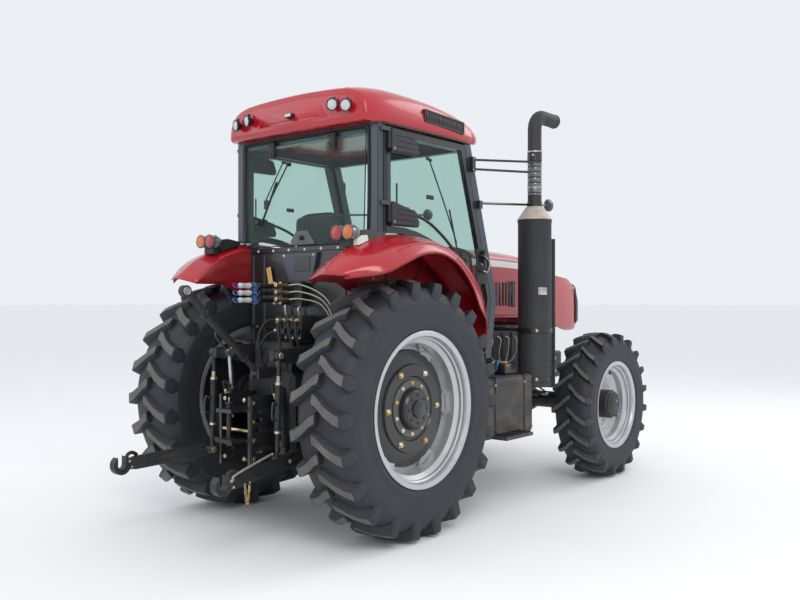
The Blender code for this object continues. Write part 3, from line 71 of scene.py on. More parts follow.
class Value:
    """A float socket that adds maths nodes as an expression."""

    def __init__(self, tree: "Shader", socket: bpy.types.NodeSocket) -> None:
        """Wraps a socket of a shader's node tree."""
        self.tree, self.socket = tree, socket

    def _maths(self, operation: str, first: object, second: object = None) -> "Value":
        """Adds one Math node and returns its result."""
        node = self.tree.add("ShaderNodeMath", {"operation": operation}, {0: first})
        if second is not None:
            self.tree.put(node, 1, second)
        return Value(self.tree, node.outputs[0])

    def __add__(self, other: object) -> "Value":
        """Sum."""
        return self._maths("ADD", self, other)

    __radd__ = __add__

    def __sub__(self, other: object) -> "Value":
        """Difference."""
        return self._maths("SUBTRACT", self, other)

    def __rsub__(self, other: object) -> "Value":
        """Difference from a number."""
        return self._maths("SUBTRACT", other, self)

    def __mul__(self, other: object) -> "Value":
        """Product."""
        return self._maths("MULTIPLY", self, other)

    __rmul__ = __mul__

    def __truediv__(self, other: object) -> "Value":
        """Quotient."""
        return self._maths("DIVIDE", self, other)

    def absolute(self) -> "Value":
        """Size without its sign."""
        return self._maths("ABSOLUTE", self)

    def sine(self) -> "Value":
        """Sine of an angle in radians."""
        return self._maths("SINE", self)

    def least(self, other: object) -> "Value":
        """The smaller of two."""
        return self._maths("MINIMUM", self, other)

    def most(self, other: object) -> "Value":
        """The larger of two."""
        return self._maths("MAXIMUM", self, other)

    def rise(self, low: float, high: float) -> "Value":
        """0 below low, 1 above high, smooth between; reversed when low is the higher."""
        node = self.tree.add("ShaderNodeMapRange", {"interpolation_type": "SMOOTHSTEP"},
            {"Value": self, "From Min": low, "From Max": high})
        return Value(self.tree, node.outputs[0])

    def band(self, low: float, high: float, edge: float) -> "Value":
        """1 between low and high, with soft edges."""
        return self.rise(low - edge, low + edge) * self.rise(high + edge, high - edge)


Number = Union[Value, float]
Colour = tuple[float, float, float]


class Shader:
    """One material's node tree, with what every finish of the tractor uses."""

    def __init__(self, name: str) -> None:
        """Makes an empty material of that name."""
        self.material = bpy.data.materials.new(name)
        self.material.use_nodes = True
        self.nodes = self.material.node_tree.nodes
        self.nodes.clear()
        self.place = self.add("ShaderNodeTexCoord").outputs["Object"]
        split = self.add("ShaderNodeSeparateXYZ", {}, {0: self.place})
        self.x, self.y, self.z = (Value(self, split.outputs[index]) for index in range(3))

    def put(self, node: bpy.types.Node, key: Union[str, int], value: object) -> None:
        """Sets a node's input to a number or a colour, or links a socket to it."""
        socket = value.socket if isinstance(value, Value) else value
        if isinstance(socket, bpy.types.NodeSocket):
            self.material.node_tree.links.new(socket, node.inputs[key])
        elif isinstance(socket, tuple) and node.inputs[key].type == "RGBA":
            node.inputs[key].default_value = (*socket, 1.0)
        else:
            node.inputs[key].default_value = socket

    def add(self, kind: str, settings: dict | None = None, inputs: dict | None = None) -> bpy.types.Node:
        """Adds a node.

        Args:
            kind: the node's type.
            settings: its properties, set first.
            inputs: its input sockets' values or links, by name or index.
        Returns:
            The node.
        """
        node = self.nodes.new(kind)
        for key, value in (settings or {}).items():
            setattr(node, key, value)
        for key, value in (inputs or {}).items():
            self.put(node, key, value)
        return node

    def noise(self, scale: float, detail: float = 3.0, stretch: Point = (1, 1, 1),
        rough: float = 0.55) -> Value:
        """Noise in the row frame, from 0 to 1, drawn out along an axis by stretch."""
        moved = self.add("ShaderNodeVectorMath", {"operation": "MULTIPLY"},
            {0: self.place, 1: tuple(stretch)})
        node = self.add("ShaderNodeTexNoise", {}, {"Vector": moved.outputs[0], "Scale": scale,
                "Detail": detail, "Roughness": rough})
        return Value(self, node.outputs[0])

    def edge(self, low: float = 0.51, high: float = 0.56) -> Value:
        """1 on sharp outer edges."""
        return Value(self, self.add("ShaderNodeNewGeometry").outputs["Pointiness"]).rise(low, high)

    def mix(self, factor: Number, first: object, second: object) -> bpy.types.NodeSocket:
        """Mixes two colours."""
        node = self.add("ShaderNodeMix", {"data_type": "RGBA"}, {0: factor, 6: first, 7: second})
        return node.outputs[2]

    def bump(self, height: Value, distance: float, strength: float = 1.0) -> bpy.types.NodeSocket:
        """A normal from a height."""
        return self.add("ShaderNodeBump", {}, {"Strength": strength, "Distance": distance,
                "Height": height}).outputs[0]

    def finish(self, shader: bpy.types.NodeSocket) -> bpy.types.Material:
        """Sends a shader to the surface and returns the material."""
        self.add("ShaderNodeOutputMaterial", {}, {"Surface": shader})
        return self.material


DUST = (0.23, 0.19, 0.145)


@dataclass(frozen=True)
class Paint:
    """Sprayed or bare solid surface with blotches, dust, and worn edges, which on bright metals are also a
    painted edge highlight.
    """
    name: str
    colour: Colour
    roughness: float = 0.4
    metallic: float = 0.0
    coat: float = 0.0
    dust: float = 0.25
    # Colour of sharp edges: worn metal, and on steel, zinc and brass also a lighter painted edge highlight.
    worn: Colour | None = None
    grain: float = 60.0
    depth: float = 0.0006
    blotch: float = 0.18

    def tint(self, shade: Shader) -> object:
        """The clean colour."""
        cloud = shade.noise(2.3, 4.0).rise(0.3, 0.7)
        dark = tuple(channel * (1 - self.blotch) for channel in self.colour)
        return shade.mix(cloud, dark, self.colour)

    def material(self) -> bpy.types.Material:
        """Builds the finish."""
        shade = Shader(self.name)
        colour = self.tint(shade)
        speck = shade.noise(self.grain, 5.0)
        # Sharp edges take the edge colour: worn metal, and on bright metals also a painted edge highlight.
        if self.worn:
            wear_and_highlight = shade.edge() * shade.noise(17.0, 4.0).rise(0.42, 0.62)
            colour = shade.mix(wear_and_highlight * 0.8, colour, self.worn)
        cloud = shade.noise(5.0, 6.0, (1, 1, 2), 0.65)
        low = shade.z.rise(1.9, 0.2)
        dirt = (cloud.rise(0.38, 0.78) * (0.25 + low) * self.dust).least(0.85)
        colour = shade.mix(dirt, colour, DUST)
        rough = (self.roughness + dirt * 0.5 + (speck - 0.5) * 0.12).least(0.95)
        body = shade.add("ShaderNodeBsdfPrincipled", {}, {
            "Base Color": colour, "Roughness": rough, "Metallic": self.metallic, "Coat Weight": self.coat,
            "Coat Roughness": 0.08, "Normal": shade.bump(speck, self.depth)})
        return shade.finish(body.outputs[0])


@dataclass(frozen=True)
class StripedPaint(Paint):
    """Bodywork paint with a white band along each side of the bonnet."""
    low: float = 1.834
    high: float = 1.888
    start: float = REAR_AXLE_X + 1.46
    end: float = REAR_AXLE_X + 3.20
    sag: float = 0.075

    def tint(self, shade: Shader) -> object:
        """The clean colour with the band."""
        base = super().tint(shade)
        along = (shade.x - self.start).most(0.0) / (self.end - self.start)
        height = shade.z + along * along * self.sag
        band = height.band(self.low, self.high, 0.0008) * shade.x.band(self.start, self.end, 0.0008)
        return shade.mix(band * shade.y.absolute().rise(0.15, 0.17), base, (0.78, 0.77, 0.74))


@dataclass(frozen=True)
class Rubber:
    """Tyre or hose rubber, with dried soil where it meets the ground."""
    name: str
    colour: Colour
    soil: float

    def material(self) -> bpy.types.Material:
        """Builds the finish."""
        shade = Shader(self.name)
        cloud = shade.noise(7.0, 6.0, rough=0.7)
        fine = shade.noise(160.0, 3.0)
        colour = shade.mix(cloud.rise(0.3, 0.7), tuple(c * 0.75 for c in self.colour), self.colour)
        dirt = (cloud * 0.7 + fine * 0.3).rise(0.62 - 0.35 * self.soil, 0.85 - 0.2 * self.soil) * self.soil
        colour = shade.mix(dirt, colour, (0.20, 0.175, 0.15))
        body = shade.add("ShaderNodeBsdfPrincipled", {}, {
            "Base Color": colour, "Roughness": (0.52 + dirt * 0.35 + fine * 0.1).least(0.95),
            "Normal": shade.bump(fine + cloud * 2.0, 0.0015)})
        return shade.finish(body.outputs[0])


@dataclass(frozen=True)
class Pane:
    """Thin tinted glass with a film of dust."""
    name: str
    tint: Colour
    body: float = 0.12
    grime: float = 0.10

    def material(self) -> bpy.types.Material:
        """Builds the finish."""
        shade = Shader(self.name)
        film = shade.noise(4.0, 6.0, (1, 1, 0.35), 0.7).rise(0.45, 0.85) * self.grime
        clear = shade.add("ShaderNodeBsdfTransparent", {}, {"Color": self.tint})
        gloss = shade.add("ShaderNodeBsdfPrincipled", {}, {
            "Base Color": shade.mix(film * 4.0, tuple(c * 0.25 for c in self.tint), DUST),
            "Roughness": (0.03 + film * 2.0).least(0.8), "Coat Weight": 1.0, "Coat Roughness": 0.02})
        mixed = shade.add("ShaderNodeMixShader", {}, {0: film + self.body, 1: clear.outputs[0],
                2: gloss.outputs[0]})
        return shade.finish(mixed.outputs[0])


@dataclass(frozen=True)
class Lens:
    """Moulded lamp lens or a translucent plastic cap."""
    name: str
    colour: Colour
    ribs: float = 0.0
    clear: float = 0.35

    def material(self) -> bpy.types.Material:
        """Builds the finish."""
        shade = Shader(self.name)
        cloud = shade.noise(30.0, 3.0)
        colour = shade.mix(cloud, tuple(c * 0.8 for c in self.colour), self.colour)
        wave = (shade.z * self.ribs).sine() if self.ribs else cloud
        body = shade.add("ShaderNodeBsdfPrincipled", {}, {
            "Base Color": colour, "Roughness": 0.12 + cloud * 0.15, "Transmission Weight": self.clear,
            "Coat Weight": 0.8, "Normal": shade.bump(wave, 0.0012, 0.6)})
        return shade.finish(body.outputs[0])


@dataclass(frozen=True)
class Cloth:
    """Woven seat cover."""
    name: str
    colour: Colour

    def material(self) -> bpy.types.Material:
        """Builds the finish."""
        shade = Shader(self.name)
        weave = (shade.y * 1500.0).sine() * ((shade.x + shade.z) * 1500.0).sine()
        cloud = shade.noise(9.0, 5.0)
        colour = shade.mix(cloud.rise(0.35, 0.7), tuple(c * 0.7 for c in self.colour), self.colour)
        colour = shade.mix(weave.rise(0.2, 0.9) * 0.25, colour, tuple(min(1.0, c * 2.2) for c in self.colour))
        body = shade.add("ShaderNodeBsdfPrincipled", {}, {
            "Base Color": colour, "Roughness": 0.8 + cloud * 0.15, "Sheen Weight": 0.25,
            "Normal": shade.bump(weave, 0.0008)})
        return shade.finish(body.outputs[0])


class Finish(Enum):
    """Every finish on the tractor."""
    RED = Paint("red paint", (0.43, 0.006, 0.018), 0.26, coat=0.55, dust=0.10, blotch=0.10, depth=0.0002)
    BONNET = StripedPaint("bonnet paint", (0.43, 0.006, 0.018), 0.26, coat=0.55, dust=0.08, blotch=0.10,
        depth=0.0002)
    INNER_RED = Paint("inner red paint", (0.26, 0.005, 0.012), 0.45, dust=0.35, depth=0.0008)
    CAB = Paint("cab paint", (0.030, 0.038, 0.058), 0.34, coat=0.3, dust=0.06)
    BLACK = Paint("black paint", (0.014, 0.015, 0.018), 0.30, coat=0.3, dust=0.07)
    IRON = Paint("cast iron", (0.018, 0.019, 0.022), 0.44, 0.1, dust=0.12, depth=0.0016)
    TANK = Paint("tank side", (0.034, 0.033, 0.033), 0.5, dust=0.45)
    SILVER = Paint("silver paint", (0.56, 0.57, 0.59), 0.34, 0.65, coat=0.2, dust=0.22, blotch=0.1)
    # Steel, zinc and brass get lighter edges, worn metal that is also a painted edge highlight; the cone's
    # edges turn a darker brown.
    STEEL = Paint("bare steel", (0.44, 0.44, 0.45), 0.3, 0.95, dust=0.25, worn=(0.7, 0.7, 0.7))
    ZINC = Paint("yellow zinc", (0.62, 0.43, 0.17), 0.34, 0.85, dust=0.25, worn=(0.75, 0.7, 0.6))
    BRASS = Paint("brass", (0.66, 0.49, 0.22), 0.28, 0.95, dust=0.15, worn=(0.8, 0.7, 0.45))
    MUFFLER = Paint("silencer paint", (0.030, 0.032, 0.037), 0.62, 0.1, dust=0.12, depth=0.0014)
    CONE = Paint("bare cone", (0.50, 0.46, 0.40), 0.55, 0.3, dust=0.3, worn=(0.35, 0.25, 0.18))
    PLASTIC = Paint("black plastic", (0.013, 0.013, 0.015), 0.45, dust=0.08, depth=0.0012, grain=220.0)
    GREY = Paint("grey plastic", (0.10, 0.105, 0.11), 0.45, dust=0.12, depth=0.001, grain=200.0)
    WHITE = Paint("white hose", (0.72, 0.72, 0.70), 0.4, dust=0.3)
    BLUE = Paint("blue strap", (0.05, 0.16, 0.50), 0.4, dust=0.1)
    PURPLE = Paint("purple strap", (0.20, 0.04, 0.24), 0.4, dust=0.1)
    PIPE = Paint("pale pipe", (0.50, 0.48, 0.42), 0.35, 0.5, dust=0.2)
    GOLD_STRIP = Paint("yellow strip", (0.62, 0.42, 0.13), 0.4, 0.2, dust=0.3)
    CAP = Lens("milky cap", (0.82, 0.84, 0.84), clear=0.3)
    FILM = Lens("clear film", (0.30, 0.32, 0.34), clear=0.55)
    LAMP = Lens("clear lamp", (0.86, 0.88, 0.90), 900.0, 0.3)
    AMBER = Lens("amber lamp", (0.90, 0.20, 0.01), 900.0)
    RED_LAMP = Lens("red lamp", (0.62, 0.01, 0.01), 900.0)
    TYRE = Rubber("tyre rubber", (0.020, 0.0245, 0.031), 0.16)
    TREAD = Rubber("worn lug tops", (0.105, 0.100, 0.096), 0.50)
    HOSE = Rubber("hose rubber", (0.018, 0.018, 0.020), 0.2)
    GLASS = Pane("tinted glass", (0.84, 0.925, 0.90), 0.05, 0.05)
    CLOTH = Cloth("seat cloth", (0.030, 0.031, 0.036))

    def get(self) -> bpy.types.Material:
        """The finish's material, made once."""
        return bpy.data.materials.get(self.value.name) or self.value.material()


# Shapes

def frame_along(direction: Vector) -> Matrix:
    """Axes whose third column runs along a direction."""
    return direction.to_track_quat("Z", "Y").to_matrix()


def circle(radius: float, steps: int, start: float = 0.0) -> list[Vector]:
    """Points of a flat circle."""
    return [Vector((radius * math.cos(start + turn), radius * math.sin(start + turn), 0))
            for turn in (2 * math.pi * index / steps for index in range(steps))]


def curve_through(points: Sequence[Vector], steps: int) -> list[Vector]:
    """A smooth line through points, with steps pieces between each two."""
    ends = [points[0] * 2 - points[1], *points, points[-1] * 2 - points[-2]]
    line = []
    for a, b, c, d in zip(ends, ends[1:], ends[2:], ends[3:]):
        for index in range(steps):
            t = index / steps
            line.append(0.5 * (2 * b + (c - a) * t + (2 * a - 5 * b + 4 * c - d) * t * t
                               + (3 * b - a - 3 * c + d) * t ** 3))
    return line + [points[-1].copy()]


class Batch:
    """Collects shapes of several finishes into one piece."""

    def __init__(self) -> None:
        """Starts empty."""
        self.points: list[Vector] = []
        self.faces: list[tuple[int, ...]] = []
        self.marks: list[int] = []
        self.finishes: list[Finish] = []

    def mark(self, finish: Finish) -> int:
        """The finish's place in the piece's list."""
        if finish not in self.finishes:
            self.finishes.append(finish)
        return self.finishes.index(finish)

    def loft(self, rings: Sequence[Sequence[Vector]], finish: Finish, caps: bool = True,
             around: bool = True, closed: bool = False) -> None:
        """Skins rings of equal length.

        Args:
            rings: the cross-sections.
            finish: the finish of the skin.
            caps: whether the ends are filled.
            around: whether each ring closes on itself.
            closed: whether the last ring joins the first.
        """
        base, size, mark = len(self.points), len(rings[0]), self.mark(finish)
        for ring in rings:
            self.points.extend(Vector(point) for point in ring)
        rows = len(rings)
        for row in range(rows if closed else rows - 1):
            low, high = base + row * size, base + (row + 1) % rows * size
            for index in range(size if around else size - 1):
                other = (index + 1) % size
                self.faces.append((low + index, low + other, high + other, high + index))
                self.marks.append(mark)
        if caps and around and not closed:
            self.faces.append(tuple(base + index for index in reversed(range(size))))
            self.faces.append(tuple(base + (rows - 1) * size + index for index in range(size)))
            self.marks.extend((mark, mark))

    def box(self, low: Point, high: Point, finish: Finish, chamfer: float = 0.003,
            turn: Matrix | None = None, pivot: Point | None = None) -> None:
        """A block with chamfered edges, turned about its middle or a pivot."""
        low, high = Vector(map(min, low, high)), Vector(map(max, low, high))
        middle, half = (low + high) / 2, (high - low) / 2
        cut = min(chamfer, min(half) * 0.6)
        spin, centre = turn or Matrix.Identity(3), Vector(pivot) if pivot is not None else middle
        rings = []
        for height, inset in ((-half.z, cut), (-half.z + cut, 0.0), (half.z - cut, 0.0), (half.z, cut)):
            a, b = half.x - inset, half.y - inset
            flat = [(a, b - cut), (a - cut, b), (cut - a, b), (-a, b - cut), (-a, cut - b), (cut - a, -b),
                    (a - cut, -b), (a, cut - b)]
            rings.append([centre + spin @ (middle + Vector((x, y, height)) - centre) for x, y in flat])
        self.loft(rings, finish)

    def rod(self, start: Point, end: Point, radius: float, finish: Finish, far: float | None = None,
            steps: int = 20, chamfer: float = 0.002) -> None:
        """A round bar or cone with chamfered ends."""
        start, end = Vector(start), Vector(end)
        axes = frame_along(end - start)
        along = (end - start).normalized()
        far = radius if far is None else far
        cut = min(chamfer, radius * 0.5, far * 0.5, (end - start).length * 0.4)
        rings = [(start, radius - cut), (start + along * cut, radius), (end - along * cut, far),
            (end, far - cut)]
        self.loft([[centre + axes @ point for point in circle(size, steps)] for centre, size in rings],
            finish)

    def tube(self, path: Sequence[Vector], radius: float, finish: Finish, steps: int = 10) -> None:
        """A round section swept along a path without twisting."""
        rings = []
        axes = frame_along(path[1] - path[0])
        for index, point in enumerate(path):
            ahead = path[min(index + 1, len(path) - 1)] - path[max(index - 1, 0)]
            axes = axes.col[2].rotation_difference(ahead.normalized()).to_matrix() @ axes
            rings.append([point + axes @ spot for spot in circle(radius, steps)])
        self.loft(rings, finish)

    def hose(self, points: Sequence[Point], radius: float, finish: Finish, steps: int = 8) -> None:
        """A smooth tube through a few points."""
        self.tube(curve_through([Vector(point) for point in points], 8), radius, finish, steps)

    def turned(self, profile: Sequence[tuple[float, float]], centre: Point, axis: Point, finish: Finish,
               steps: int = 64, caps: bool = False) -> None:
        """A profile of (radius, distance along the axis) turned about the axis."""
        axes, along = frame_along(Vector(axis)), Vector(axis).normalized()
        rings = [[Vector(centre) + along * far + axes @ point for point in circle(max(radius, 1e-4), steps)]
                 for radius, far in profile]
        self.loft(rings, finish, caps=caps)

    def ring(self, centre: Point, axis: Point, radius: float, thick: float, finish: Finish,
             steps: int = 32, sides: int = 8) -> None:
        """A torus."""
        axes = frame_along(Vector(axis))
        rings = []
        for spot in circle(1.0, steps):
            out = axes @ spot
            rings.append([Vector(centre) + out * (radius + thick * math.cos(turn)) + axes.col[2] * thick
                          * math.sin(turn) for turn in (2 * math.pi * k / sides for k in range(sides))])
        self.loft(rings, finish, closed=True)

    def ball(self, centre: Point, size: Point, finish: Finish, steps: int = 20) -> None:
        """An ellipsoid."""
        half = steps // 2
        rings = []
        for row in range(half + 1):
            turn = math.pi * row / half
            rings.append([Vector(centre) + Vector((size[0] * math.sin(turn) * spot.x,
                            size[1] * math.sin(turn) * spot.y, size[2] * math.cos(turn)))
                    for spot in circle(1.0, steps)])
        self.loft(rings, finish, caps=False)

    def bolt(self, place: Point, axis: Point, size: float, finish: Finish, square: bool = False) -> None:
        """A hex head with its washer, standing on a surface."""
        place, along = Vector(place), Vector(axis).normalized()
        axes = frame_along(along)
        washer = circle(size * 1.05, 4 if square else 20, math.pi / 4)
        self.loft([[place + along * height + axes @ spot * grow for spot in washer]
                   for height, grow in ((-0.001, 1.0), (size * 0.14, 1.0), (size * 0.2, 0.95))], finish)
        head = circle(size * 0.66, 6)
        self.loft([[place + along * height + axes @ spot * grow for spot in head]
                   for height, grow in ((size * 0.1, 1.0), (size * 0.55, 1.0), (size * 0.66, 0.86))], finish)

    def make(self, name: str, body: str, slot: str, replaces: Iterable[str] = (), smooth: float = 38.0,
             thickness: float = 0.0) -> bpy.types.Object:
        """Makes the piece.

        Args:
            name: the piece's name.
            body: the CAD body that it rides on.
            slot: not used.
            replaces: the CAD nodes that it stands for.
            smooth: edges sharper than this, in degrees, stay sharp.
            thickness: wall given to an open sheet, inwards.
        Returns:
            The piece.
        """
        mesh = bpy.data.meshes.new(name)
        mesh.from_pydata(self.points, [], self.faces)
        for finish in self.finishes:
            mesh.materials.append(finish.get())
        mesh.polygons.foreach_set("material_index", self.marks)
        model = bmesh.new()
        model.from_mesh(mesh)
        bmesh.ops.remove_doubles(model, verts=model.verts, dist=2e-5)
        bmesh.ops.recalc_face_normals(model, faces=model.faces)
        model.to_mesh(mesh)
        model.free()
        mesh.shade_smooth()
        mesh.set_sharp_from_angle(angle=math.radians(smooth))
        piece = bpy.data.objects.new(name, mesh)
        bpy.context.scene.collection.objects.link(piece)
        if thickness:
            shell = piece.modifiers.new("wall", "SOLIDIFY")
            shell.thickness, shell.offset = thickness, -1.0
        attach(piece, body)
        if replaces:
            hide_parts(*replaces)
        LOG.info("%s: %d faces on %s", name, len(mesh.polygons), body)
        return piece


def dress(nodes: dict, finish: Finish, *names: str) -> None:
    """Gives CAD nodes a finish and smooth shading."""
    for name in names:
        mesh = nodes[name].data
        mesh.materials.clear()
        mesh.materials.append(finish.get())
        mesh.shade_smooth()
        mesh.set_sharp_from_angle(angle=math.radians(35))


# Wheels

@dataclass
class Wheel:
    """A driven wheel: carcass, chevron lugs, rim, disc and hub."""
    name: str
    side: int
    centre: Vector
    radius: float
    width: float
    seat: float
    rim_width: float
    body: str
    nodes: tuple[str, str]
    lugs: int = 22
    lug_height: float = 0.040
    lug_thick: float = 0.066
    slant: float = 0.120
    steps: int = 132

    def spot(self, radius: float, turn: float, out: float) -> Vector:
        """A point at a radius, an angle forward of the top, and a distance outwards."""
        return self.centre + Vector((radius * math.sin(turn), self.side * out, radius * math.cos(turn)))

    def carcass(self) -> list[tuple[float, float]]:
        """Half section of the tyre, from bead to bead, as radius and distance outwards."""
        half, base, bead = self.width / 2, self.radius - self.lug_height, self.seat
        rise = base - bead
        outer = [(bead + 0.004, self.rim_width / 2 - 0.012), (bead + 0.022, self.rim_width / 2 - 0.002),
            (bead + rise * 0.12, half * 0.905), (bead + rise * 0.16, half * 0.925),
            (bead + rise * 0.19, half * 0.955), (bead + rise * 0.22, half * 0.958),
            (bead + rise * 0.25, half * 0.945), (bead + rise * 0.40, half * 0.978),
            (bead + rise * 0.55, half * 0.985), (bead + rise * 0.68, half * 0.965),
            (bead + rise * 0.72, half * 0.962), (bead + rise * 0.735, half * 0.95),
            (bead + rise * 0.82, half * 0.90), (bead + rise * 0.90, half * 0.82),
            (bead + rise * 0.96, half * 0.66), (bead + rise * 0.99, half * 0.40), (base, 0.0)]
        inner = [(radius, -out) for radius, out in reversed(outer[:-1])]
        return outer + inner

    def add_carcass(self, batch: Batch) -> None:
        """Turns the section, and closes it under the beads."""
        section = self.carcass()
        section += [(self.seat + 0.004, -self.rim_width / 2 + 0.030),
            (self.seat + 0.004, self.rim_width / 2 - 0.030)]
        rings = [[self.spot(radius, 2 * math.pi * k / self.steps, out) for radius, out in section]
                 for k in range(self.steps)]
        batch.loft(rings, Finish.TYRE, closed=True)

    def add_lug(self, batch: Batch, start: float, hand: int) -> None:
        """One lug, from the middle of the tread over the shoulder to the sidewall."""
        half, base = self.width / 2, self.radius - self.lug_height
        stations = [(-0.07, 0.0, -0.08, 0.80, 1.0), (-0.05, 0.0, -0.06, 1.0, 1.0),
                    (0.10, 0.0, 0.06, 1.0, 1.0),
                    (0.40, 0.001, 0.50, 1.0, 0.98), (0.70, 0.007, 0.82, 1.02, 1.0),
                    (0.90, 0.016, 0.96, 1.10, 1.06),
                    (0.955, 0.020, 0.97, 1.14, 1.08), (0.985, 0.075, 1.0, 1.05, 1.0),
                    (0.975, 0.120, 1.02, 0.8, 0.8)]
        rings = []
        for share, drop, back, wide, foot in stations:
            out = hand * half * share
            turn = start - self.slant * back / self.radius
            top = self.radius - drop - (0.004 if share < -0.06 else 0.0)
            under = max(0.0, abs(share) - 0.55)
            low = base - 0.012 - 0.45 * under * half - max(0.0, drop - 0.03)
            pull = hand * 0.030 * (1 if drop > 0.05 else 0.25 if share > 0.9 else 0)
            thick = self.lug_thick * wide / 2 / self.radius
            spread = self.lug_thick * foot * 0.82 / self.radius
            rings.append([
                self.spot(low, turn - spread, out - pull), self.spot(top - 0.006, turn - thick * 1.04, out),
                self.spot(top, turn - thick * 0.86, out), self.spot(top, turn + thick * 0.86, out),
                self.spot(top - 0.006, turn + thick * 1.04, out), self.spot(low, turn + spread, out - pull)])
        first = len(batch.faces)
        batch.loft(rings, Finish.TYRE)
        worn = batch.mark(Finish.TREAD)
        for row in range(5):
            batch.marks[first + row * 6 + 2] = worn

    def build_tyre(self) -> None:
        """Carcass and both rows of lugs."""
        batch = Batch()
        self.add_carcass(batch)
        pitch = 2 * math.pi / self.lugs
        for index in range(self.lugs):
            self.add_lug(batch, pitch * index, 1)
            self.add_lug(batch, pitch * (index + 0.5), -1)
        batch.make(f"{self.name}_tyre_detail", self.body, "tyre", [self.nodes[0]], 32)

    def rim_section(self, disc: float) -> list[tuple[float, float]]:
        """Rim wall from its outer lip to its inner lip, then back along the inside."""
        half, seat, lip = self.rim_width / 2, self.seat - 0.001, self.seat + 0.0254
        well = seat - 0.044
        return [(lip, half + 0.0095), (lip - 0.004, half + 0.012), (seat - 0.006, half + 0.004),
            (seat - 0.013, half - 0.010), (seat - 0.014, half - 0.028), (seat - 0.024, half - 0.036),
            (seat - 0.026, half - 0.055), (well - 0.010, half - 0.075), (well - 0.012, half * 0.25),
            (well - 0.012, disc), (well - 0.012, -half * 0.4), (seat - 0.014, -half + 0.006),
            (lip - 0.002, -half - 0.008), (lip, -half - 0.002), (seat, -half + 0.004), (well, -half * 0.42),
            (well, half * 0.42), (seat, half - 0.004), (lip, half + 0.003)]

    def add_turned(self, batch: Batch, profile: Sequence[tuple[float, float]], finish: Finish,
                   closed: bool = False) -> None:
        """Turns a profile about the wheel's axle."""
        rings = [[self.spot(max(radius, 1e-4), 2 * math.pi * k / 96, out) for radius, out in profile]
                 for k in range(96)]
        batch.loft(rings, finish, around=closed, closed=True)

    def add_bolts(self, batch: Batch, count: int, radius: float, out: float, size: float, finish: Finish,
                  phase: float = 0.0, square: bool = False) -> None:
        """A ring of bolts facing outwards."""
        for index in range(count):
            turn = 2 * math.pi * (index + phase) / count
            batch.bolt(self.spot(radius, turn, out), (0, self.side, 0), size, finish, square)


@dataclass
class RearWheel(Wheel):
    """Rear wheel: silver rim and a black bolted disc round the axle's flange."""

    def build_rim(self) -> None:
        """Rim, lugs, disc, flange, hub and bolts."""
        batch = Batch()
        self.add_turned(batch, self.rim_section(-0.060), Finish.SILVER, closed=True)
        disc = 0.020
        self.add_turned(batch, [(self.seat - 0.050, disc - 0.004), (0.405, disc + 0.004),
                (0.392, disc + 0.012), (0.384, disc + 0.012), (0.384, disc - 0.006), (0.400, disc - 0.016),
                (self.seat - 0.050, disc - 0.018)], Finish.SILVER)
        self.add_turned(batch, [(0.385, disc + 0.020), (0.380, disc + 0.028), (0.305, disc + 0.056),
                (0.292, disc + 0.056), (0.285, disc + 0.072), (0.212, disc + 0.072), (0.204, disc + 0.060),
                (0.150, disc + 0.050), (0.0, disc + 0.048)], Finish.BLACK)
        self.add_turned(batch, [(0.0, disc - 0.080), (0.098, disc - 0.080), (0.100, disc - 0.020),
                (0.34, disc - 0.012), (0.375, disc + 0.010), (0.385, disc + 0.020)], Finish.BLACK)
        for index in range(6):
            turn = 2 * math.pi * (index + 0.5) / 6
            outline = [(-0.085, 0.428), (-0.060, 0.385), (-0.045, 0.345), (0.045, 0.345), (0.060, 0.385),
                       (0.085, 0.428)]
            rings = [[self.spot(radius, turn + across / radius, disc + lift + 0.25 * max(0.0, 0.41 - radius))
                      for across, radius in outline] for lift in (0.004, 0.022)]
            batch.loft(rings, Finish.SILVER)
        self.add_bolts(batch, 6, 0.255, disc + 0.073, 0.024, Finish.ZINC, 0.5, square=True)
        self.add_turned(batch, [(0.187, disc + 0.050), (0.187, disc + 0.064), (0.183, disc + 0.068),
                (0.140, disc + 0.068), (0.134, disc + 0.062)], Finish.GREY)
        self.add_bolts(batch, 10, 0.165, disc + 0.068, 0.014, Finish.ZINC)
        self.add_turned(batch, [(0.136, disc + 0.050), (0.133, disc + 0.095), (0.122, 0.130),
                (0.115, 0.136), (0.062, 0.138), (0.058, 0.150), (0.050, 0.154), (0.0, 0.154)], Finish.BLACK)
        self.add_bolts(batch, 8, 0.090, 0.1375, 0.011, Finish.BLACK)
        valve = self.spot(0.395, 0.4, disc + 0.03)
        batch.rod(valve, valve + Vector((0, self.side * 0.05, -0.006)), 0.004, Finish.BRASS, steps=10)
        batch.make(f"{self.name}_rim_detail", self.body, "silver", [self.nodes[1]], 35)


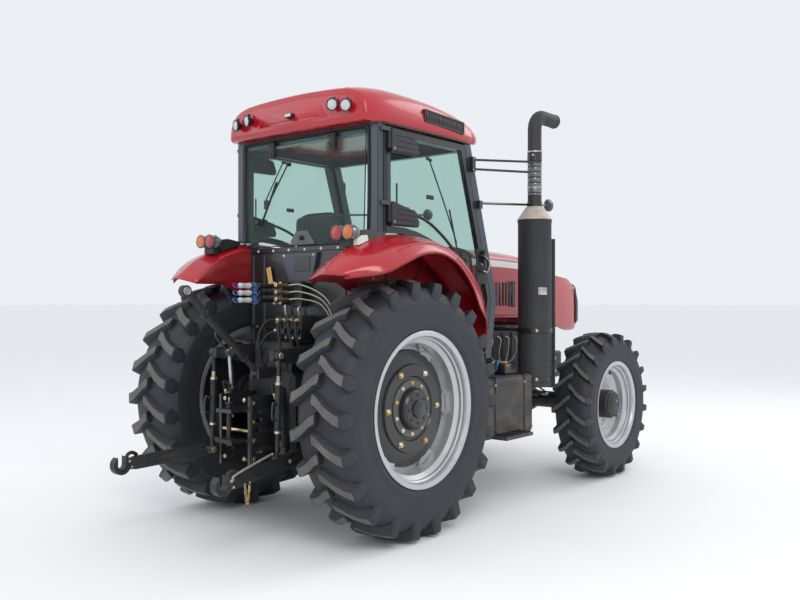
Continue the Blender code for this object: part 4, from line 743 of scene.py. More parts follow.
@dataclass
class FrontWheel(Wheel):
    """Front wheel: deep silver dish round a black planetary hub."""

    def build_rim(self) -> None:
        """Rim, dish, hub drum and bolts."""
        batch = Batch()
        disc = -0.010
        self.add_turned(batch, self.rim_section(disc), Finish.SILVER, closed=True)
        self.add_turned(batch, [(self.seat - 0.050, disc + 0.030), (0.285, disc + 0.024),
                (0.262, disc + 0.006), (0.232, disc + 0.002), (0.224, disc + 0.008), (0.216, disc + 0.002),
                (0.120, disc + 0.002), (0.120, disc - 0.008), (0.262, disc - 0.006),
                (self.seat - 0.050, disc - 0.018)], Finish.SILVER)
        self.add_bolts(batch, 8, 0.165, disc + 0.002, 0.014, Finish.ZINC, 0.5)
        self.add_bolts(batch, 4, 0.292, disc + 0.028, 0.013, Finish.BLACK, 0.3)
        self.add_turned(batch, [(0.0, disc - 0.090), (0.116, disc - 0.090), (0.118, disc),
                (0.124, disc + 0.010), (0.124, 0.094), (0.118, 0.102), (0.112, 0.106), (0.112, 0.114),
                (0.106, 0.120), (0.078, 0.122), (0.074, 0.126), (0.060, 0.130), (0.0, 0.130)], Finish.IRON)
        self.add_bolts(batch, 10, 0.093, 0.121, 0.008, Finish.IRON)
        batch.bolt(self.spot(0.045, 0.9, 0.130), (0, self.side, 0), 0.010, Finish.ZINC)
        batch.make(f"{self.name}_rim_detail", self.body, "silver", [self.nodes[1]], 35)


def smoothed(rows: Sequence[Sequence[Vector]], along: int, across: int) -> list[list[Vector]]:
    """Adds smooth rows between rows, and smooth points along each."""
    columns = [curve_through(list(column), along) for column in zip(*rows)]
    return [curve_through(list(row), across) for row in zip(*columns)]


@dataclass
class Assembly:
    """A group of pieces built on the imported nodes."""
    nodes: dict

    def build(self) -> None:
        """Builds the pieces, then dresses what is kept from the frame."""
        raise NotImplementedError


@dataclass
class Roof(Assembly):
    """Roof cap with work lamps, rear panel, side vents and a drip rail."""
    stations: tuple = (
        (-0.205, 0.610, 2.750, 2.895, 0.030), (-0.193, 0.655, 2.732, 2.920, 0.034),
        (-0.170, 0.680, 2.7215, 2.945, 0.034), (-0.060, 0.705, 2.7205, 2.970, 0.028),
        (0.150, 0.716, 2.7205, 2.988, 0.018),
        (0.600, 0.720, 2.7205, 2.975, 0.015), (0.960, 0.700, 2.7205, 2.925, 0.015),
        (1.140, 0.640, 2.745, 2.860, 0.012), (1.190, 0.540, 2.775, 2.820, 0.008))
    lamp_radius: float = 0.041

    def ring(self, x: float, half: float, low: float, top: float, crown: float) -> list[Vector]:
        """One cross-section with rounded shoulders and a turned-in lower edge."""
        ring = []
        for step in range(41):
            share = -math.cos(math.pi * step / 40)
            height = (top - low - 0.02) * max(0.0, 1 - abs(share) ** 9) ** 0.42 + crown * (1 - share * share)
            ring.append(at(x, half * share, low + 0.02 + height))
        return ring + [at(x, half - 0.012, low), at(x, 0, low), at(x, -half + 0.012, low)]

    def add_lamp(self, batch: Batch, y: float, z: float) -> None:
        """A round work lamp on a stem."""
        face = at(-0.250, y, z)
        out = Vector((-1, 0.25 * (1 if y > 0 else -1), -0.12)).normalized()
        batch.turned([(0.0, -0.046), (0.020, -0.043), (0.035, -0.024), (self.lamp_radius, -0.006),
                      (self.lamp_radius + 0.002, 0.0), (self.lamp_radius - 0.004, 0.003),
                      (self.lamp_radius - 0.006, -0.001)], face, out, Finish.PLASTIC, 32)
        batch.turned([(self.lamp_radius - 0.006, -0.001), (0.024, 0.005), (0.0, 0.007)], face, out,
            Finish.LAMP, 32)
        batch.rod(face - out * 0.05, face - out * 0.05 + Vector((0.05, 0, -0.012)), 0.012, Finish.PLASTIC)
        batch.rod(face - out * 0.02 + Vector((0, 0, 0.034)), face + Vector((0.03, 0, 0.052)), 0.010,
            Finish.PLASTIC)

    def build(self) -> None:
        """Builds the cap, then its fittings."""
        fine = []
        columns = [curve_through([Vector((*item[:3],)) for item in self.stations], 6),
                   curve_through([Vector((item[3], item[4], 0)) for item in self.stations], 6)]
        for first, second in zip(*columns):
            fine.append(self.ring(first.x, first.y, max(first.z, 2.7205), second.x, second.y))
        cap = Batch()
        cap.loft(fine, Finish.RED)
        cap.make("roof_cap", "chassis", "red_paint", ["roof"], 50)
        trim = Batch()
        for side in SIDES.values():
            for y, z in ((0.425, 2.842), (0.545, 2.822)):
                self.add_lamp(trim, side * y, z)
            rail = [at(-0.075, side * 0.640, 2.716), at(-0.060, side * 0.700, 2.716),
                at(0.15, side * 0.718, 2.716), at(0.60, side * 0.722, 2.716), at(0.94, side * 0.704, 2.716)]
            trim.hose(rail, 0.008, Finish.PLASTIC)
            for index in range(15):
                x = 0.40 + index * 0.030
                lean = -0.020 * index / 14
                trim.box(at(x, side * 0.695, 2.800 + lean), at(x + 0.014, side * 0.7245, 2.872 + lean * 1.7),
                         Finish.PLASTIC, 0.002)
            trim.loft([[at(x, side * y, z + (-0.020 if x > 0.6 else 0)) for y,
                        z in ((0.690, 2.795), (0.7215, 2.795), (0.7215, 2.875),
                            (0.690, 2.875))] for x in (0.390, 0.845)], Finish.HOSE)
            for low, high in ((2.790, 2.803), (2.868, 2.880)):
                drop = -0.022 if low > 2.85 else -0.018
                trim.loft([[at(x, side * y, z + (drop if x > 0.6 else 0)) for y,
                            z in ((0.690, low), (0.7255, low), (0.7255, high),
                                (0.690, high))] for x in (0.385, 0.850)], Finish.PLASTIC)
            for x in (0.380, 0.846):
                drop = -0.020 if x > 0.6 else 0
                trim.box(at(x, side * 0.690, 2.790 + drop), at(x + 0.012, side * 0.7255, 2.880 + drop),
                    Finish.PLASTIC)
        for grow, tall, deep in ((1.0, 0.046, -0.2085), (0.80, 0.026, -0.2125)):
            outline = [(-0.34 * grow, -tall), (-0.27 * grow, tall), (0.27 * grow, tall), (0.34 * grow, -tall)]
            trim.loft([[at(x, y * cut, 2.826 + z * cut) for y, z in outline] for x, cut in (
                (-0.195, 1.0), (deep + 0.002, 1.0), (deep, 0.985))], Finish.RED)
        trim.box(at(-0.245, -0.035, 2.812), at(-0.205, 0.035, 2.842), Finish.PLASTIC, 0.006)
        trim.box(at(-0.249, -0.028, 2.816), at(-0.243, 0.028, 2.838), Finish.LAMP, 0.002)
        trim.hose([at(-0.168, y, 2.9765 - y * y * 0.085) for y in (-0.50, -0.25, 0.0, 0.25, 0.50)], 0.0035,
                  Finish.INNER_RED, 6)
        trim.make("roof_fittings", "chassis", "black_paint", smooth=45)


@dataclass
class Fenders(Assembly):
    """Rear fenders with their inner walls, edge beads, bolts and lamps."""
    crest: tuple[float, float] = (0.090, 0.840)
    crest_radius: float = 1.140
    lip: tuple[float, float] = (-0.030, 0.840)
    lip_radius: float = 1.035

    def circle_point(self, centre: tuple[float, float], radius: float, degrees: float) -> Vector:
        """A point of a circle in side view."""
        turn = math.radians(degrees)
        return Vector((centre[0] + radius * math.cos(turn), centre[1] + radius * math.sin(turn)))

    def rows(self, side: int) -> list[list[Vector]]:
        """Cross-sections from the rear lobe to the front foot."""
        stations = []
        for index in range(9):
            share = index / 8
            angle = 130 - 90 * share
            crest = self.circle_point(self.crest, self.crest_radius, angle)
            lip = self.circle_point(self.lip, self.lip_radius, angle - 8 * (1 - share))
            out = 1.040 - 0.200 * max(0.0, 1 - share * 5) ** 2 - 0.110 * max(0.0, share - 0.6) / 0.4
            reach = (1.070, 0.930, 0.820)[index] if index < 3 else 0.740
            wall = self.circle_point(self.crest if index < 2 else self.lip, reach, angle)
            stations.append((crest, lip, out, wall))
        for (_, lip, _, _), drop in zip(stations, (0.030, 0.080, 0.065, 0.025)):
            lip.y -= drop
        stations[0][0].y -= 0.015
        foot = stations[-1][0].copy()
        for drop, back in ((0.180, 0.005), (0.400, 0.020)):
            crest = Vector((foot.x - back, foot.y - drop))
            stations.append((crest, crest - Vector((0.060, 0.010)), 0.900, crest - Vector((0.080, 0.020))))
        rows = []
        for crest, lip, out, wall in stations:
            shoulder = crest + (wall - crest).normalized() * 0.050
            under = lip + (Vector(self.lip) - lip).normalized() * 0.014
            section = [(0.5555, wall), (0.5555, shoulder), (0.700, crest), (0.745, crest),
                       (0.745 + (out - 0.745) * 0.45, crest.lerp(lip, 0.18)),
                       (0.745 + (out - 0.745) * 0.82, crest.lerp(lip, 0.55)), (out, lip), (out, under)]
            rows.append([at(flat.x, side * y, flat.y) for y, flat in section])
        return rows

    def add_wedge(self, batch: Batch, side: int, stations: Sequence[Point], across: Point,
        finish: Finish) -> None:
        """A tapering block through stations of (x, low, high), with four y values round its section."""
        rings = []
        for x, low, high in stations:
            rings.append([at(x, side * y, z) for y, z in zip(across, (low, low, high, high))])
        batch.loft(rings, finish)

    def add_lamps(self, batch: Batch, side: int) -> None:
        """Red and amber lamps on their bracket, facing back."""
        for y, finish in ((0.625, Finish.RED_LAMP), (0.725, Finish.AMBER)):
            face = at(-0.425, side * y, 1.972)
            batch.turned([(0.0, 0.085), (0.034, 0.082), (0.042, 0.060), (0.045, 0.012), (0.047, 0.004),
                          (0.043, 0.0)], face, (1, 0, 0), Finish.FILM, 28)
            batch.turned([(0.043, 0.0), (0.030, -0.006), (0.0, -0.009)], face, (1, 0, 0), finish, 28)
            batch.ring(face + Vector((0.002, 0, 0)), (1, 0, 0), 0.045, 0.004, Finish.GREY)
            batch.ring(face + Vector((0.050, 0, 0)), (1, 0, 0), 0.043, 0.005, Finish.FILM)
        bracket = ((-0.365, 1.890, 1.932), (-0.320, 1.905, 1.955), (-0.270, 1.925, 1.960))
        self.add_wedge(batch, side, bracket, (0.66, 0.765, 0.755, 0.67), Finish.WHITE)
        batch.box(at(-0.390, side * 0.675 - 0.045, 1.880), at(-0.330, side * 0.675 + 0.045, 1.935),
            Finish.PLASTIC)
        block = ((-0.320, 1.900, 1.985), (-0.230, 1.925, 2.000), (-0.120, 1.955, 1.985))
        self.add_wedge(batch, side, block, (0.63, 0.76, 0.74, 0.65), Finish.PLASTIC)

    def build(self) -> None:
        """Builds both fenders."""
        for word, side in SIDES.items():
            rows = self.rows(side)
            cover, wall = Batch(), Batch()
            fine = smoothed([row[1:] for row in rows], 5, 4)
            cover.loft(fine, Finish.RED, around=False)
            cover.make(f"fender_cover_{word}", "chassis", "red_paint", [f"fender_{word}"], 60, 0.004)
            inner = smoothed([row[:2] for row in rows], 5, 3)
            wall.loft(inner, Finish.INNER_RED, around=False)
            wall.make(f"fender_wall_{word}", "chassis", "red_paint", smooth=60, thickness=0.004)
            trim = Batch()
            trim.tube([row[-1] for row in fine], 0.007, Finish.INNER_RED, 8)
            trim.tube([row[len(row) * 2 // 3] + Vector((0, 0, 0.002)) for row in fine[10:38]], 0.004,
                Finish.RED, 6)
            for index in (12, 18, 24, 30, 36):
                low = inner[index][1]
                trim.bolt(low + Vector((0, side * 0.004, 0)), (0, side, 0), 0.011, Finish.ZINC)
            for index in (14, 22, 30, 38):
                rib = [point + Vector((0, side * 0.006, 0)) for point in inner[index]]
                trim.tube(rib, 0.009, Finish.INNER_RED, 8)
            self.add_lamps(trim, side)
            trim.make(f"fender_fittings_{word}", "chassis", "red_paint", smooth=45)


@dataclass
class Cab(Assembly):
    """Cab frame trims, rear wall fittings, seals and wipers."""
    rear: float = -0.090

    def add_rear_wall(self, batch: Batch) -> None:
        """Cover, strip, bolts and pressings on the wall under the rear window."""
        face = self.rear
        batch.box(at(face - 0.003, -0.548, 1.140), at(face + 0.001, 0.548, 1.892), Finish.BLACK)
        batch.box(at(face - 0.010, -0.545, 1.890), at(face + 0.001, 0.545, 1.925), Finish.BLACK)
        for y in (-0.50, -0.34, -0.18, -0.02, 0.14, 0.30, 0.46):
            batch.bolt(at(face - 0.010, y, 1.904), (-1, 0, 0), 0.009, Finish.WHITE)
        duct = [(0.205, 1.880), (-0.165, 1.880), (-0.110, 1.660), (0.110, 1.660)]
        batch.loft([[at(x, y * grow, 1.77 + (z - 1.77) * grow) for y, z in duct] for x,
                grow in ((face + 0.001, 1.0), (face - 0.022, 1.0), (face - 0.030, 0.96))], Finish.CAB)
        batch.box(at(face - 0.034, -0.095, 1.745), at(face - 0.028, 0.060, 1.850), Finish.BLACK, 0.003)
        for y in (0.17, -0.13):
            batch.bolt(at(face - 0.030, y * 0.98, 1.862), (-1, 0, 0), 0.009, Finish.STEEL)
        lean = Matrix.Rotation(math.radians(-13), 3, "X")
        batch.box(at(face - 0.030, 0.300, 1.660), at(face - 0.022, 0.345, 1.785), Finish.GOLD_STRIP,
            turn=lean)
        batch.box(at(face - 0.024, 0.290, 1.640), at(face + 0.001, 0.355, 1.665), Finish.BLACK)
        for y in (-0.520, -0.400, 0.400, 0.520):
            batch.box(at(face - 0.012, y - 0.012, 1.160), at(face + 0.001, y + 0.012, 1.880), Finish.CAB,
                0.006)
        batch.box(at(face - 0.014, -0.545, 1.335), at(face + 0.001, 0.545, 1.365), Finish.BLACK, 0.004)
        for y in (-0.47, -0.20, 0.20, 0.47):
            batch.bolt(at(face - 0.014, y, 1.350), (-1, 0, 0), 0.010, Finish.ZINC)

    def add_seals(self, batch: Batch) -> None:
        """Rubber seals down the pillars and round the rear window's opening."""
        for side in SIDES.values():
            batch.hose([at(-0.098, side * 0.605, 1.925), at(-0.098, side * 0.615, 2.30),
                    at(-0.098, side * 0.612, 2.700)], 0.007, Finish.HOSE)
            batch.box(at(-0.094, side * 0.640, 1.990), at(-0.089, side * 0.690, 2.700), Finish.CAB, 0.002)
            batch.hose([at(-0.040, side * 0.7035, 2.0), at(-0.040, side * 0.7035, 2.690)], 0.004, Finish.HOSE)
        batch.tube([at(-0.099, -0.610, 2.704), at(-0.099, 0.610, 2.704)], 0.007, Finish.HOSE)

    def add_front_wiper(self, batch: Batch) -> None:
        """Wiper on the windscreen."""
        batch.rod(at(1.010, -0.30, 2.640), at(0.955, -0.30, 2.650), 0.012, Finish.PLASTIC)
        batch.hose([at(0.985, -0.30, 2.645), at(1.105, -0.36, 2.30), at(1.215, -0.40, 2.00)], 0.006,
            Finish.PLASTIC)
        batch.tube([at(1.13, -0.39, 2.26), at(1.29, -0.42, 1.66)], 0.007, Finish.HOSE)

    def build(self) -> None:
        """Builds the fittings and dresses the frame."""
        batch = Batch()
        self.add_rear_wall(batch)
        self.add_seals(batch)
        self.add_front_wiper(batch)
        batch.make("cab_fittings", "chassis", "black_paint", smooth=40)
        dress(self.nodes, Finish.CAB, "cab_frame", "cab_floor")
        dress(self.nodes, Finish.GLASS, "windscreen")


@dataclass
class RearWindow(Assembly):
    """Frameless rear pane with hinges, wiper, latch and knob."""
    low: float = 1.935
    top: float = 2.690
    outside: float = -0.0983

    def build(self) -> None:
        """Builds the pane and its fittings."""
        batch, x = Batch(), self.outside
        outline = []
        for y, z, turn in ((0.573, self.low, -90), (0.592, self.top, 0), (-0.592, self.top, 90),
                           (-0.573, self.low, 180)):
            for step in range(7):
                angle = math.radians(turn + 15 * step)
                radius = 0.060 if z < 2 else 0.020
                centre = (y - math.copysign(radius, y), z + (radius if z < 2 else -radius))
                outline.append((centre[0] + radius * math.cos(angle), centre[1] + radius * math.sin(angle)))
        batch.loft([[at(x + deep, y, z) for y, z in outline] for deep in (0.001, 0.0072)], Finish.GLASS)
        batch.tube([at(x + 0.004, y, z) for y, z in outline + outline[:1]], 0.0042, Finish.PLASTIC, 6)
        for y in (-0.300, 0.300):
            batch.loft([[at(a, y + b, c) for b, c in ((-w, low), (w, low), (w * 1.15, self.top - 0.004),
                            (-w * 1.15, self.top - 0.004))] for a, w,
                    low in ((x + 0.001, 0.026, 2.570), (x - 0.018, 0.026, 2.570),
                        (x - 0.025, 0.018, 2.590))], Finish.PLASTIC)
            batch.rod(at(x - 0.018, y - 0.036, self.top - 0.012),
                at(x - 0.018, y + 0.036, self.top - 0.012), 0.013, Finish.PLASTIC)
            batch.rod(at(x - 0.025, y, 2.600), at(x - 0.034, y, 2.600), 0.011, Finish.PLASTIC)
        plate = [(0.115, 1.9375), (0.115, 1.965), (0.060, 2.035), (-0.050, 2.035), (-0.115, 1.955),
            (-0.115, 1.9375)]
        batch.loft([[at(a, y, z) for y, z in plate] for a in (x + 0.001, x - 0.006)], Finish.GREY)
        batch.rod(at(x - 0.006, 0.0, 1.985), at(x - 0.032, 0.0, 1.985), 0.017, Finish.PLASTIC, 0.014)
        batch.rod(at(x + 0.006, 0.45, 2.120), at(x - 0.030, 0.45, 2.120), 0.020, Finish.PLASTIC, 0.017)
        pivot = at(x - 0.020, 0.130, 2.515)
        batch.rod(pivot + Vector((0.022, 0, 0)), pivot - Vector((0.012, 0, 0)), 0.014, Finish.PLASTIC)
        batch.rod(pivot + Vector((0.022, 0.050, 0.018)), pivot + Vector((-0.010, 0.050, 0.018)), 0.009,
            Finish.PLASTIC)
        blade = at(x - 0.016, 0.350, 2.230)
        batch.tube([pivot, blade], 0.0055, Finish.PLASTIC)
        batch.tube([pivot + Vector((0, 0.050, 0.018)), blade + Vector((0, 0.025, 0.030))], 0.0045,
            Finish.PLASTIC)
        batch.box(blade + Vector((-0.006, -0.012, -0.02)), blade + Vector((0.006, 0.032, 0.045)),
            Finish.PLASTIC)
        batch.hose([at(x - 0.014, 0.255, 2.40), at(x - 0.010, 0.345, 2.24), at(x - 0.014, 0.430, 2.08)],
            0.006, Finish.HOSE)
        batch.tube([at(x - 0.004, 0.255, 2.40), at(x - 0.004, 0.430, 2.08)], 0.0035, Finish.HOSE)
        batch.make("rear_window_detail", "rear_window", "glass", ["rear_window"], 40)


@dataclass
class Doors(Assembly):
    """Door fittings: hinge covers, brace, handle, seal and latch."""
    def add_cover(self, batch: Batch, side: int, z: float) -> None:
        """Wedge-shaped cover over a hinge."""
        rings = []
        for y, cut in ((0.6985, 0.0), (0.7325, 0.0), (0.742, 0.010)):
            rings.append([at(x, side * y, z + h) for x, h in (
                (0.006 + cut, -0.080 + cut), (0.290 - cut, -0.075 + cut), (0.302 - cut, -0.050),
                (0.270 - cut, 0.030 - cut), (0.020 + cut, 0.082 - cut), (0.006 + cut, 0.070))])
        batch.loft(rings, Finish.PLASTIC)
        pin_y = side * 0.716
        batch.rod(at(-0.004, pin_y, z - 0.058), at(-0.004, pin_y, z + 0.052), 0.0155, Finish.PLASTIC)
        for h in (-0.035, 0.000, 0.035):
            batch.box(at(0.045, side * 0.735, z + h - 0.003), at(0.240, side * 0.7445, z + h + 0.003),
                      Finish.PLASTIC, 0.002)
        batch.bolt(at(0.022, side * 0.742, z - 0.055), (0, side, 0), 0.008, Finish.STEEL)

    def build(self) -> None:
        """Builds the fittings on each door."""
        for word, side in SIDES.items():
            batch = Batch()
            for z in (2.610, 2.120):
                self.add_cover(batch, side, z)
            face = side * 0.707
            batch.hose([at(0.230, face, 2.150), at(0.480, face, 2.075), at(0.760, face, 1.900),
                    at(0.930, face, 1.700), at(1.020, face, 1.545)], 0.011, Finish.PLASTIC, 10)
            grip = [at(1.075, side * 0.700, 1.885), at(1.085, side * 0.742, 1.880),
                at(1.135, side * 0.744, 1.850), at(1.150, side * 0.744, 1.805),
                at(1.120, side * 0.742, 1.760), at(1.075, side * 0.740, 1.765),
                at(1.055, side * 0.700, 1.780)]
            batch.hose(grip, 0.011, Finish.PLASTIC, 10)
            batch.hose([point + Vector((0, side * 0.010, 0)) for point in grip[1:6]], 0.004, Finish.STEEL, 8)
            batch.rod(at(1.105, side * 0.700, 1.820), at(1.105, side * 0.722, 1.820), 0.016, Finish.STEEL)
            batch.box(at(1.040, side * 0.699, 1.665), at(1.165, side * 0.712, 1.935), Finish.PLASTIC, 0.008)
            batch.hose([at(0.090, side * 0.7035, 2.055), at(0.090, side * 0.7035, 2.330)], 0.006,
                Finish.PLASTIC)
            batch.box(at(0.420, side * 0.6985, 2.255), at(0.500, side * 0.712, 2.285), Finish.PLASTIC, 0.004)
            batch.make(f"door_fittings_{word}", f"door_{word}", "black_paint", smooth=40)
            dress(self.nodes, Finish.BLACK, f"door_{word}")
            dress(self.nodes, Finish.GLASS, f"door_glass_{word}")


@dataclass
class Hitch(Assembly):
    """Three-point linkage: arms, rods, links, hooks, cylinders and their hoses."""
    hook_x: float = -1.238
    hook_y: float = 0.498
    hook_z: float = 0.487

    def link_point(self, share: float) -> Vector:
        """A point of the right lower link's bar, from the front pin to the hook."""
        return at(-0.120, 0.300, 0.560).lerp(at(self.hook_x, self.hook_y, self.hook_z), share)

    def build_link(self, word: str, side: int) -> None:
        """Hook throat, release rod, chain, bolts and a plate on a lower link."""
        def mirror(point: Vector) -> Vector:
            """The point on this link's side."""
            return Vector((point.x, side * point.y, point.z))

        batch = Batch()
        hook = mirror(at(self.hook_x, self.hook_y, self.hook_z))
        for turn in (-1, 1):
            face = hook + Vector((0, turn * 0.0265, 0))
            arc = [face + Vector((0.046 * math.cos(math.radians(a)), 0, 0.046 * math.sin(math.radians(a))))
                   for a in range(170, 361, 12)]
            batch.hose(arc, 0.006, Finish.IRON, 8)
        batch.rod(hook + Vector((0.052, -0.030, 0.020)), hook + Vector((0.052, 0.030, 0.020)), 0.010,
            Finish.ZINC)
        batch.rod(hook + Vector((0.068, -0.031, -0.018)), hook + Vector((0.068, 0.031, -0.018)), 0.008,
            Finish.STEEL)
        batch.hose([hook + Vector((0.046, 0.0, 0.030)), hook + Vector((0.052, 0, 0.060)),
                hook + Vector((0.085, 0, 0.070)), hook + Vector((0.120, 0, 0.052))], 0.012, Finish.IRON, 10)
        if side < 0:
            rest = mirror(self.link_point(0.62))
            batch.hose([hook + Vector((0.060, -0.030, 0.022)), hook + Vector((0.085, -0.026, 0.052)),
                        rest + Vector((0, -0.010, 0.078)), rest + Vector((0.030, -0.010, 0.082))], 0.0065,
                       Finish.CONE, 8)
            self.add_chain(batch, mirror, side)
        for share in (0.28, 0.44):
            pin = mirror(self.link_point(share))
            batch.rod(pin + Vector((0, -0.026, 0)), pin + Vector((0, 0.026, 0)), 0.014, Finish.ZINC)
            batch.bolt(pin + Vector((0, side * 0.020, 0)), (0, side, 0), 0.014, Finish.ZINC)
        for low, high in ((0.16, 0.52), (0.66, 0.84)):
            a, b = mirror(self.link_point(low)), mirror(self.link_point(high))
            for turn in (-1, 1):
                out = Vector((0, turn * 0.0185, 0))
                batch.tube([a + out + Vector((0, 0, 0.024)), b + out + Vector((0, 0, 0.024))], 0.004,
                    Finish.BLACK, 6)
                batch.tube([a + out - Vector((0, 0, 0.024)), b + out - Vector((0, 0, 0.024))], 0.004,
                    Finish.BLACK, 6)
        front = mirror(self.link_point(0.0))
        batch.ring(front, (0, 1, 0), 0.043, 0.010, Finish.IRON)
        batch.rod(front + Vector((0, -0.034, 0)), front + Vector((0, 0.034, 0)), 0.019, Finish.STEEL)
        batch.make(f"lower_link_fittings_{word}", f"lower_link_{word}", "cast_iron", smooth=45)

    def add_chain(self, batch: Batch, mirror: Callable[[Vector], Vector], side: int) -> None:
        """Short chain hanging below the bar, link by link."""
        start, end = mirror(self.link_point(0.84)), mirror(self.link_point(0.80))
        count = 13
        previous = None
        for index in range(count + 1):
            share = index / count
            drop = 0.052 + 0.125 * math.sin(math.pi * share)
            place = start.lerp(end, share) + Vector((0, side * 0.026, -drop + 0.02))
            if previous is not None:
                along = (place - previous).normalized()
                flat = Vector((0, 1, 0)) if index % 2 else along.cross(Vector((0, 1, 0))).normalized()
                middle = (place + previous) / 2
                reach = (place - previous).length * 0.62
                loop = []
                for step in range(13):
                    turn = math.tau * step / 12
                    loop.append(middle + along * reach * math.cos(turn) + flat * 0.0065 * math.sin(turn))
                batch.tube(loop, 0.0020, Finish.BRASS, 5)
            previous = place
        for place in (start, end):
            batch.rod(place + Vector((0, side * 0.012, -0.034)), place + Vector((0, side * 0.031, -0.034)),
                0.006, Finish.ZINC)

    def build_rod(self, word: str, side: int) -> None:
        """Turnbuckle with a handle, nuts and threads on a lift rod."""
        batch = Batch()
        top, foot = at(-0.625, side * 0.3206, 1.190), at(-0.643, side * 0.3206, 0.530)
        for share, radius, finish in ((0.27, 0.024, Finish.ZINC), (0.295, 0.027, Finish.IRON),
            (0.71, 0.027, Finish.IRON), (0.735, 0.024, Finish.ZINC)):
            place = top.lerp(foot, share)
            batch.rod(place - Vector((0, 0, 0.009)), place + Vector((0, 0, 0.009)), radius, finish, steps=6)
        for index in range(9):
            place = top.lerp(foot, 0.20 + index * 0.0065)
            batch.ring(place, (foot - top), 0.0135, 0.0022, Finish.STEEL, 16, 6)
        middle = top.lerp(foot, 0.52)
        batch.hose([middle + Vector((-0.018, 0, 0.030)), middle + Vector((-0.052, side * 0.010, 0.045)),
                middle + Vector((-0.060, side * 0.012, -0.050)), middle + Vector((-0.020, 0, -0.065))],
            0.007, Finish.BLACK, 8)
        for place, radius in ((top, 0.030), (foot, 0.030)):
            for turn in (-1, 1):
                batch.rod(place + Vector((0, turn * 0.019, 0)), place + Vector((0, turn * 0.024, 0)),
                    radius * 0.72, Finish.ZINC, steps=20)
        batch.make(f"lift_rod_fittings_{word}", f"lift_rod_{word}", "cast_iron", smooth=40)

    def build_cylinder(self, word: str, side: int) -> None:
        """Gland, end collars, ports and hoses of a lift cylinder."""
        batch, y = Batch(), side * 0.2414
        foot, top = at(-0.500, y, 0.500), at(-0.560, y, 1.187)
        along = (top - foot).normalized()
        for share, radius, tall in ((0.10, 0.039, 0.016), (0.64, 0.039, 0.022), (0.675, 0.030, 0.012)):
            place = foot.lerp(top, share)
            batch.rod(place - along * tall, place + along * tall, radius, Finish.BLACK)
        for share in (0.17, 0.60):
            port = foot.lerp(top, share)
            batch.rod(port, port + Vector((-0.052, 0, 0)), 0.013, Finish.ZINC, steps=6)
            batch.rod(port + Vector((-0.050, 0, 0)), port + Vector((-0.060, 0, 0.030)), 0.011, Finish.ZINC,
                steps=6)
        low, high = foot.lerp(top, 0.17) + Vector((-0.056, 0, 0.024)), foot.lerp(top,
            0.60) + Vector((-0.056, 0, 0.02))
        for index, (start, lean) in enumerate(((low, 0.030), (high, 0.006))):
            end = foot.lerp(top, 0.40) + Vector((0.060, -side * (0.010 + lean * 0.4), 0.020 * index))
            path = [start, start + Vector((-0.018, side * lean * 0.2, 0.060)),
                    start.lerp(end, 0.5) + Vector((-0.045, -side * 0.012, 0.100)), end]
            batch.hose(path, 0.0085, Finish.HOSE, 10)
            fine = curve_through(path, 14)
            for step in range(4, len(fine) - 2, 1):
                batch.ring(fine[step], fine[step] - fine[step - 1], 0.0090, 0.0016, Finish.PLASTIC, 10, 5)
        batch.make(f"lift_cylinder_fittings_{word}", f"lift_cylinder_{word}", "black_paint", smooth=45)
        rod = Batch()
        for turn in (-1, 1):
            rod.rod(top + Vector((0, turn * 0.016, 0)), top + Vector((0, turn * 0.0195, 0)), 0.021,
                Finish.ZINC)
        rod.make(f"cylinder_rod_fittings_{word}", f"cylinder_rod_{word}", "steel", smooth=40)

    def build_arms(self) -> None:
        """Pins, bosses and stiffeners on the lift arms."""
        batch = Batch()
        for side in SIDES.values():
            for x, z, radius in ((-0.240, 1.170, 0.052), (-0.625, 1.190, 0.034)):
                face = side * 0.300
                batch.rod(at(x, face, z), at(x, face + side * 0.005, z), radius, Finish.IRON, steps=28)
                batch.rod(at(x, face + side * 0.004, z), at(x, face + side * 0.009, z), radius * 0.5,
                    Finish.ZINC)
            face = side * 0.3005
            batch.hose([at(-0.300, face, 1.192), at(-0.450, face, 1.200), at(-0.590, face, 1.200)], 0.005,
                       Finish.IRON, 6)
        batch.make("lift_arm_fittings", "lift_arms", "cast_iron", smooth=45)

    def build_top_link(self) -> None:
        """Sleeve nuts, threads, handle and ball ends of the top link."""
        batch = Batch()
        low, high = at(-0.517, 0, 1.057), at(-1.113, 0, 1.600)
        along = (high - low).normalized()
        for share, radius in ((0.19, 0.030), (0.225, 0.027), (0.70, 0.027), (0.735, 0.030)):
            place = low.lerp(high, share)
            batch.rod(place - along * 0.008, place + along * 0.008, radius, Finish.IRON, steps=6)
        for index in range(14):
            batch.ring(low.lerp(high, 0.755 + index * 0.011), along, 0.0165, 0.0026, Finish.IRON, 16, 6)
            batch.ring(low.lerp(high, 0.075 + index * 0.008), along, 0.0165, 0.0026, Finish.IRON, 16, 6)
        middle = low.lerp(high, 0.47)
        across = along.cross(Vector((0, 1, 0)))
        batch.hose([middle - along * 0.08 + across * 0.024, middle - along * 0.05 + across * 0.052,
                    middle + along * 0.05 + across * 0.052, middle + along * 0.08 + across * 0.024], 0.006,
                   Finish.BLACK, 8)
        batch.rod(low.lerp(high, 0.36) + across * 0.030, low.lerp(high, 0.36) - across * 0.028, 0.008,
            Finish.ZINC)
        for place, radius in ((low, 0.034), (high, 0.036)):
            for turn in (-1, 1):
                batch.ring(place + Vector((0, turn * 0.0205, 0)), (0, 1, 0), 0.024, 0.003, Finish.STEEL)
                batch.rod(place + Vector((0, turn * 0.012, 0)), place + Vector((0, turn * 0.0225, 0)), 0.021,
                          Finish.STEEL, steps=24)
        batch.make("top_link_fittings", "top_link", "cast_iron", smooth=45)

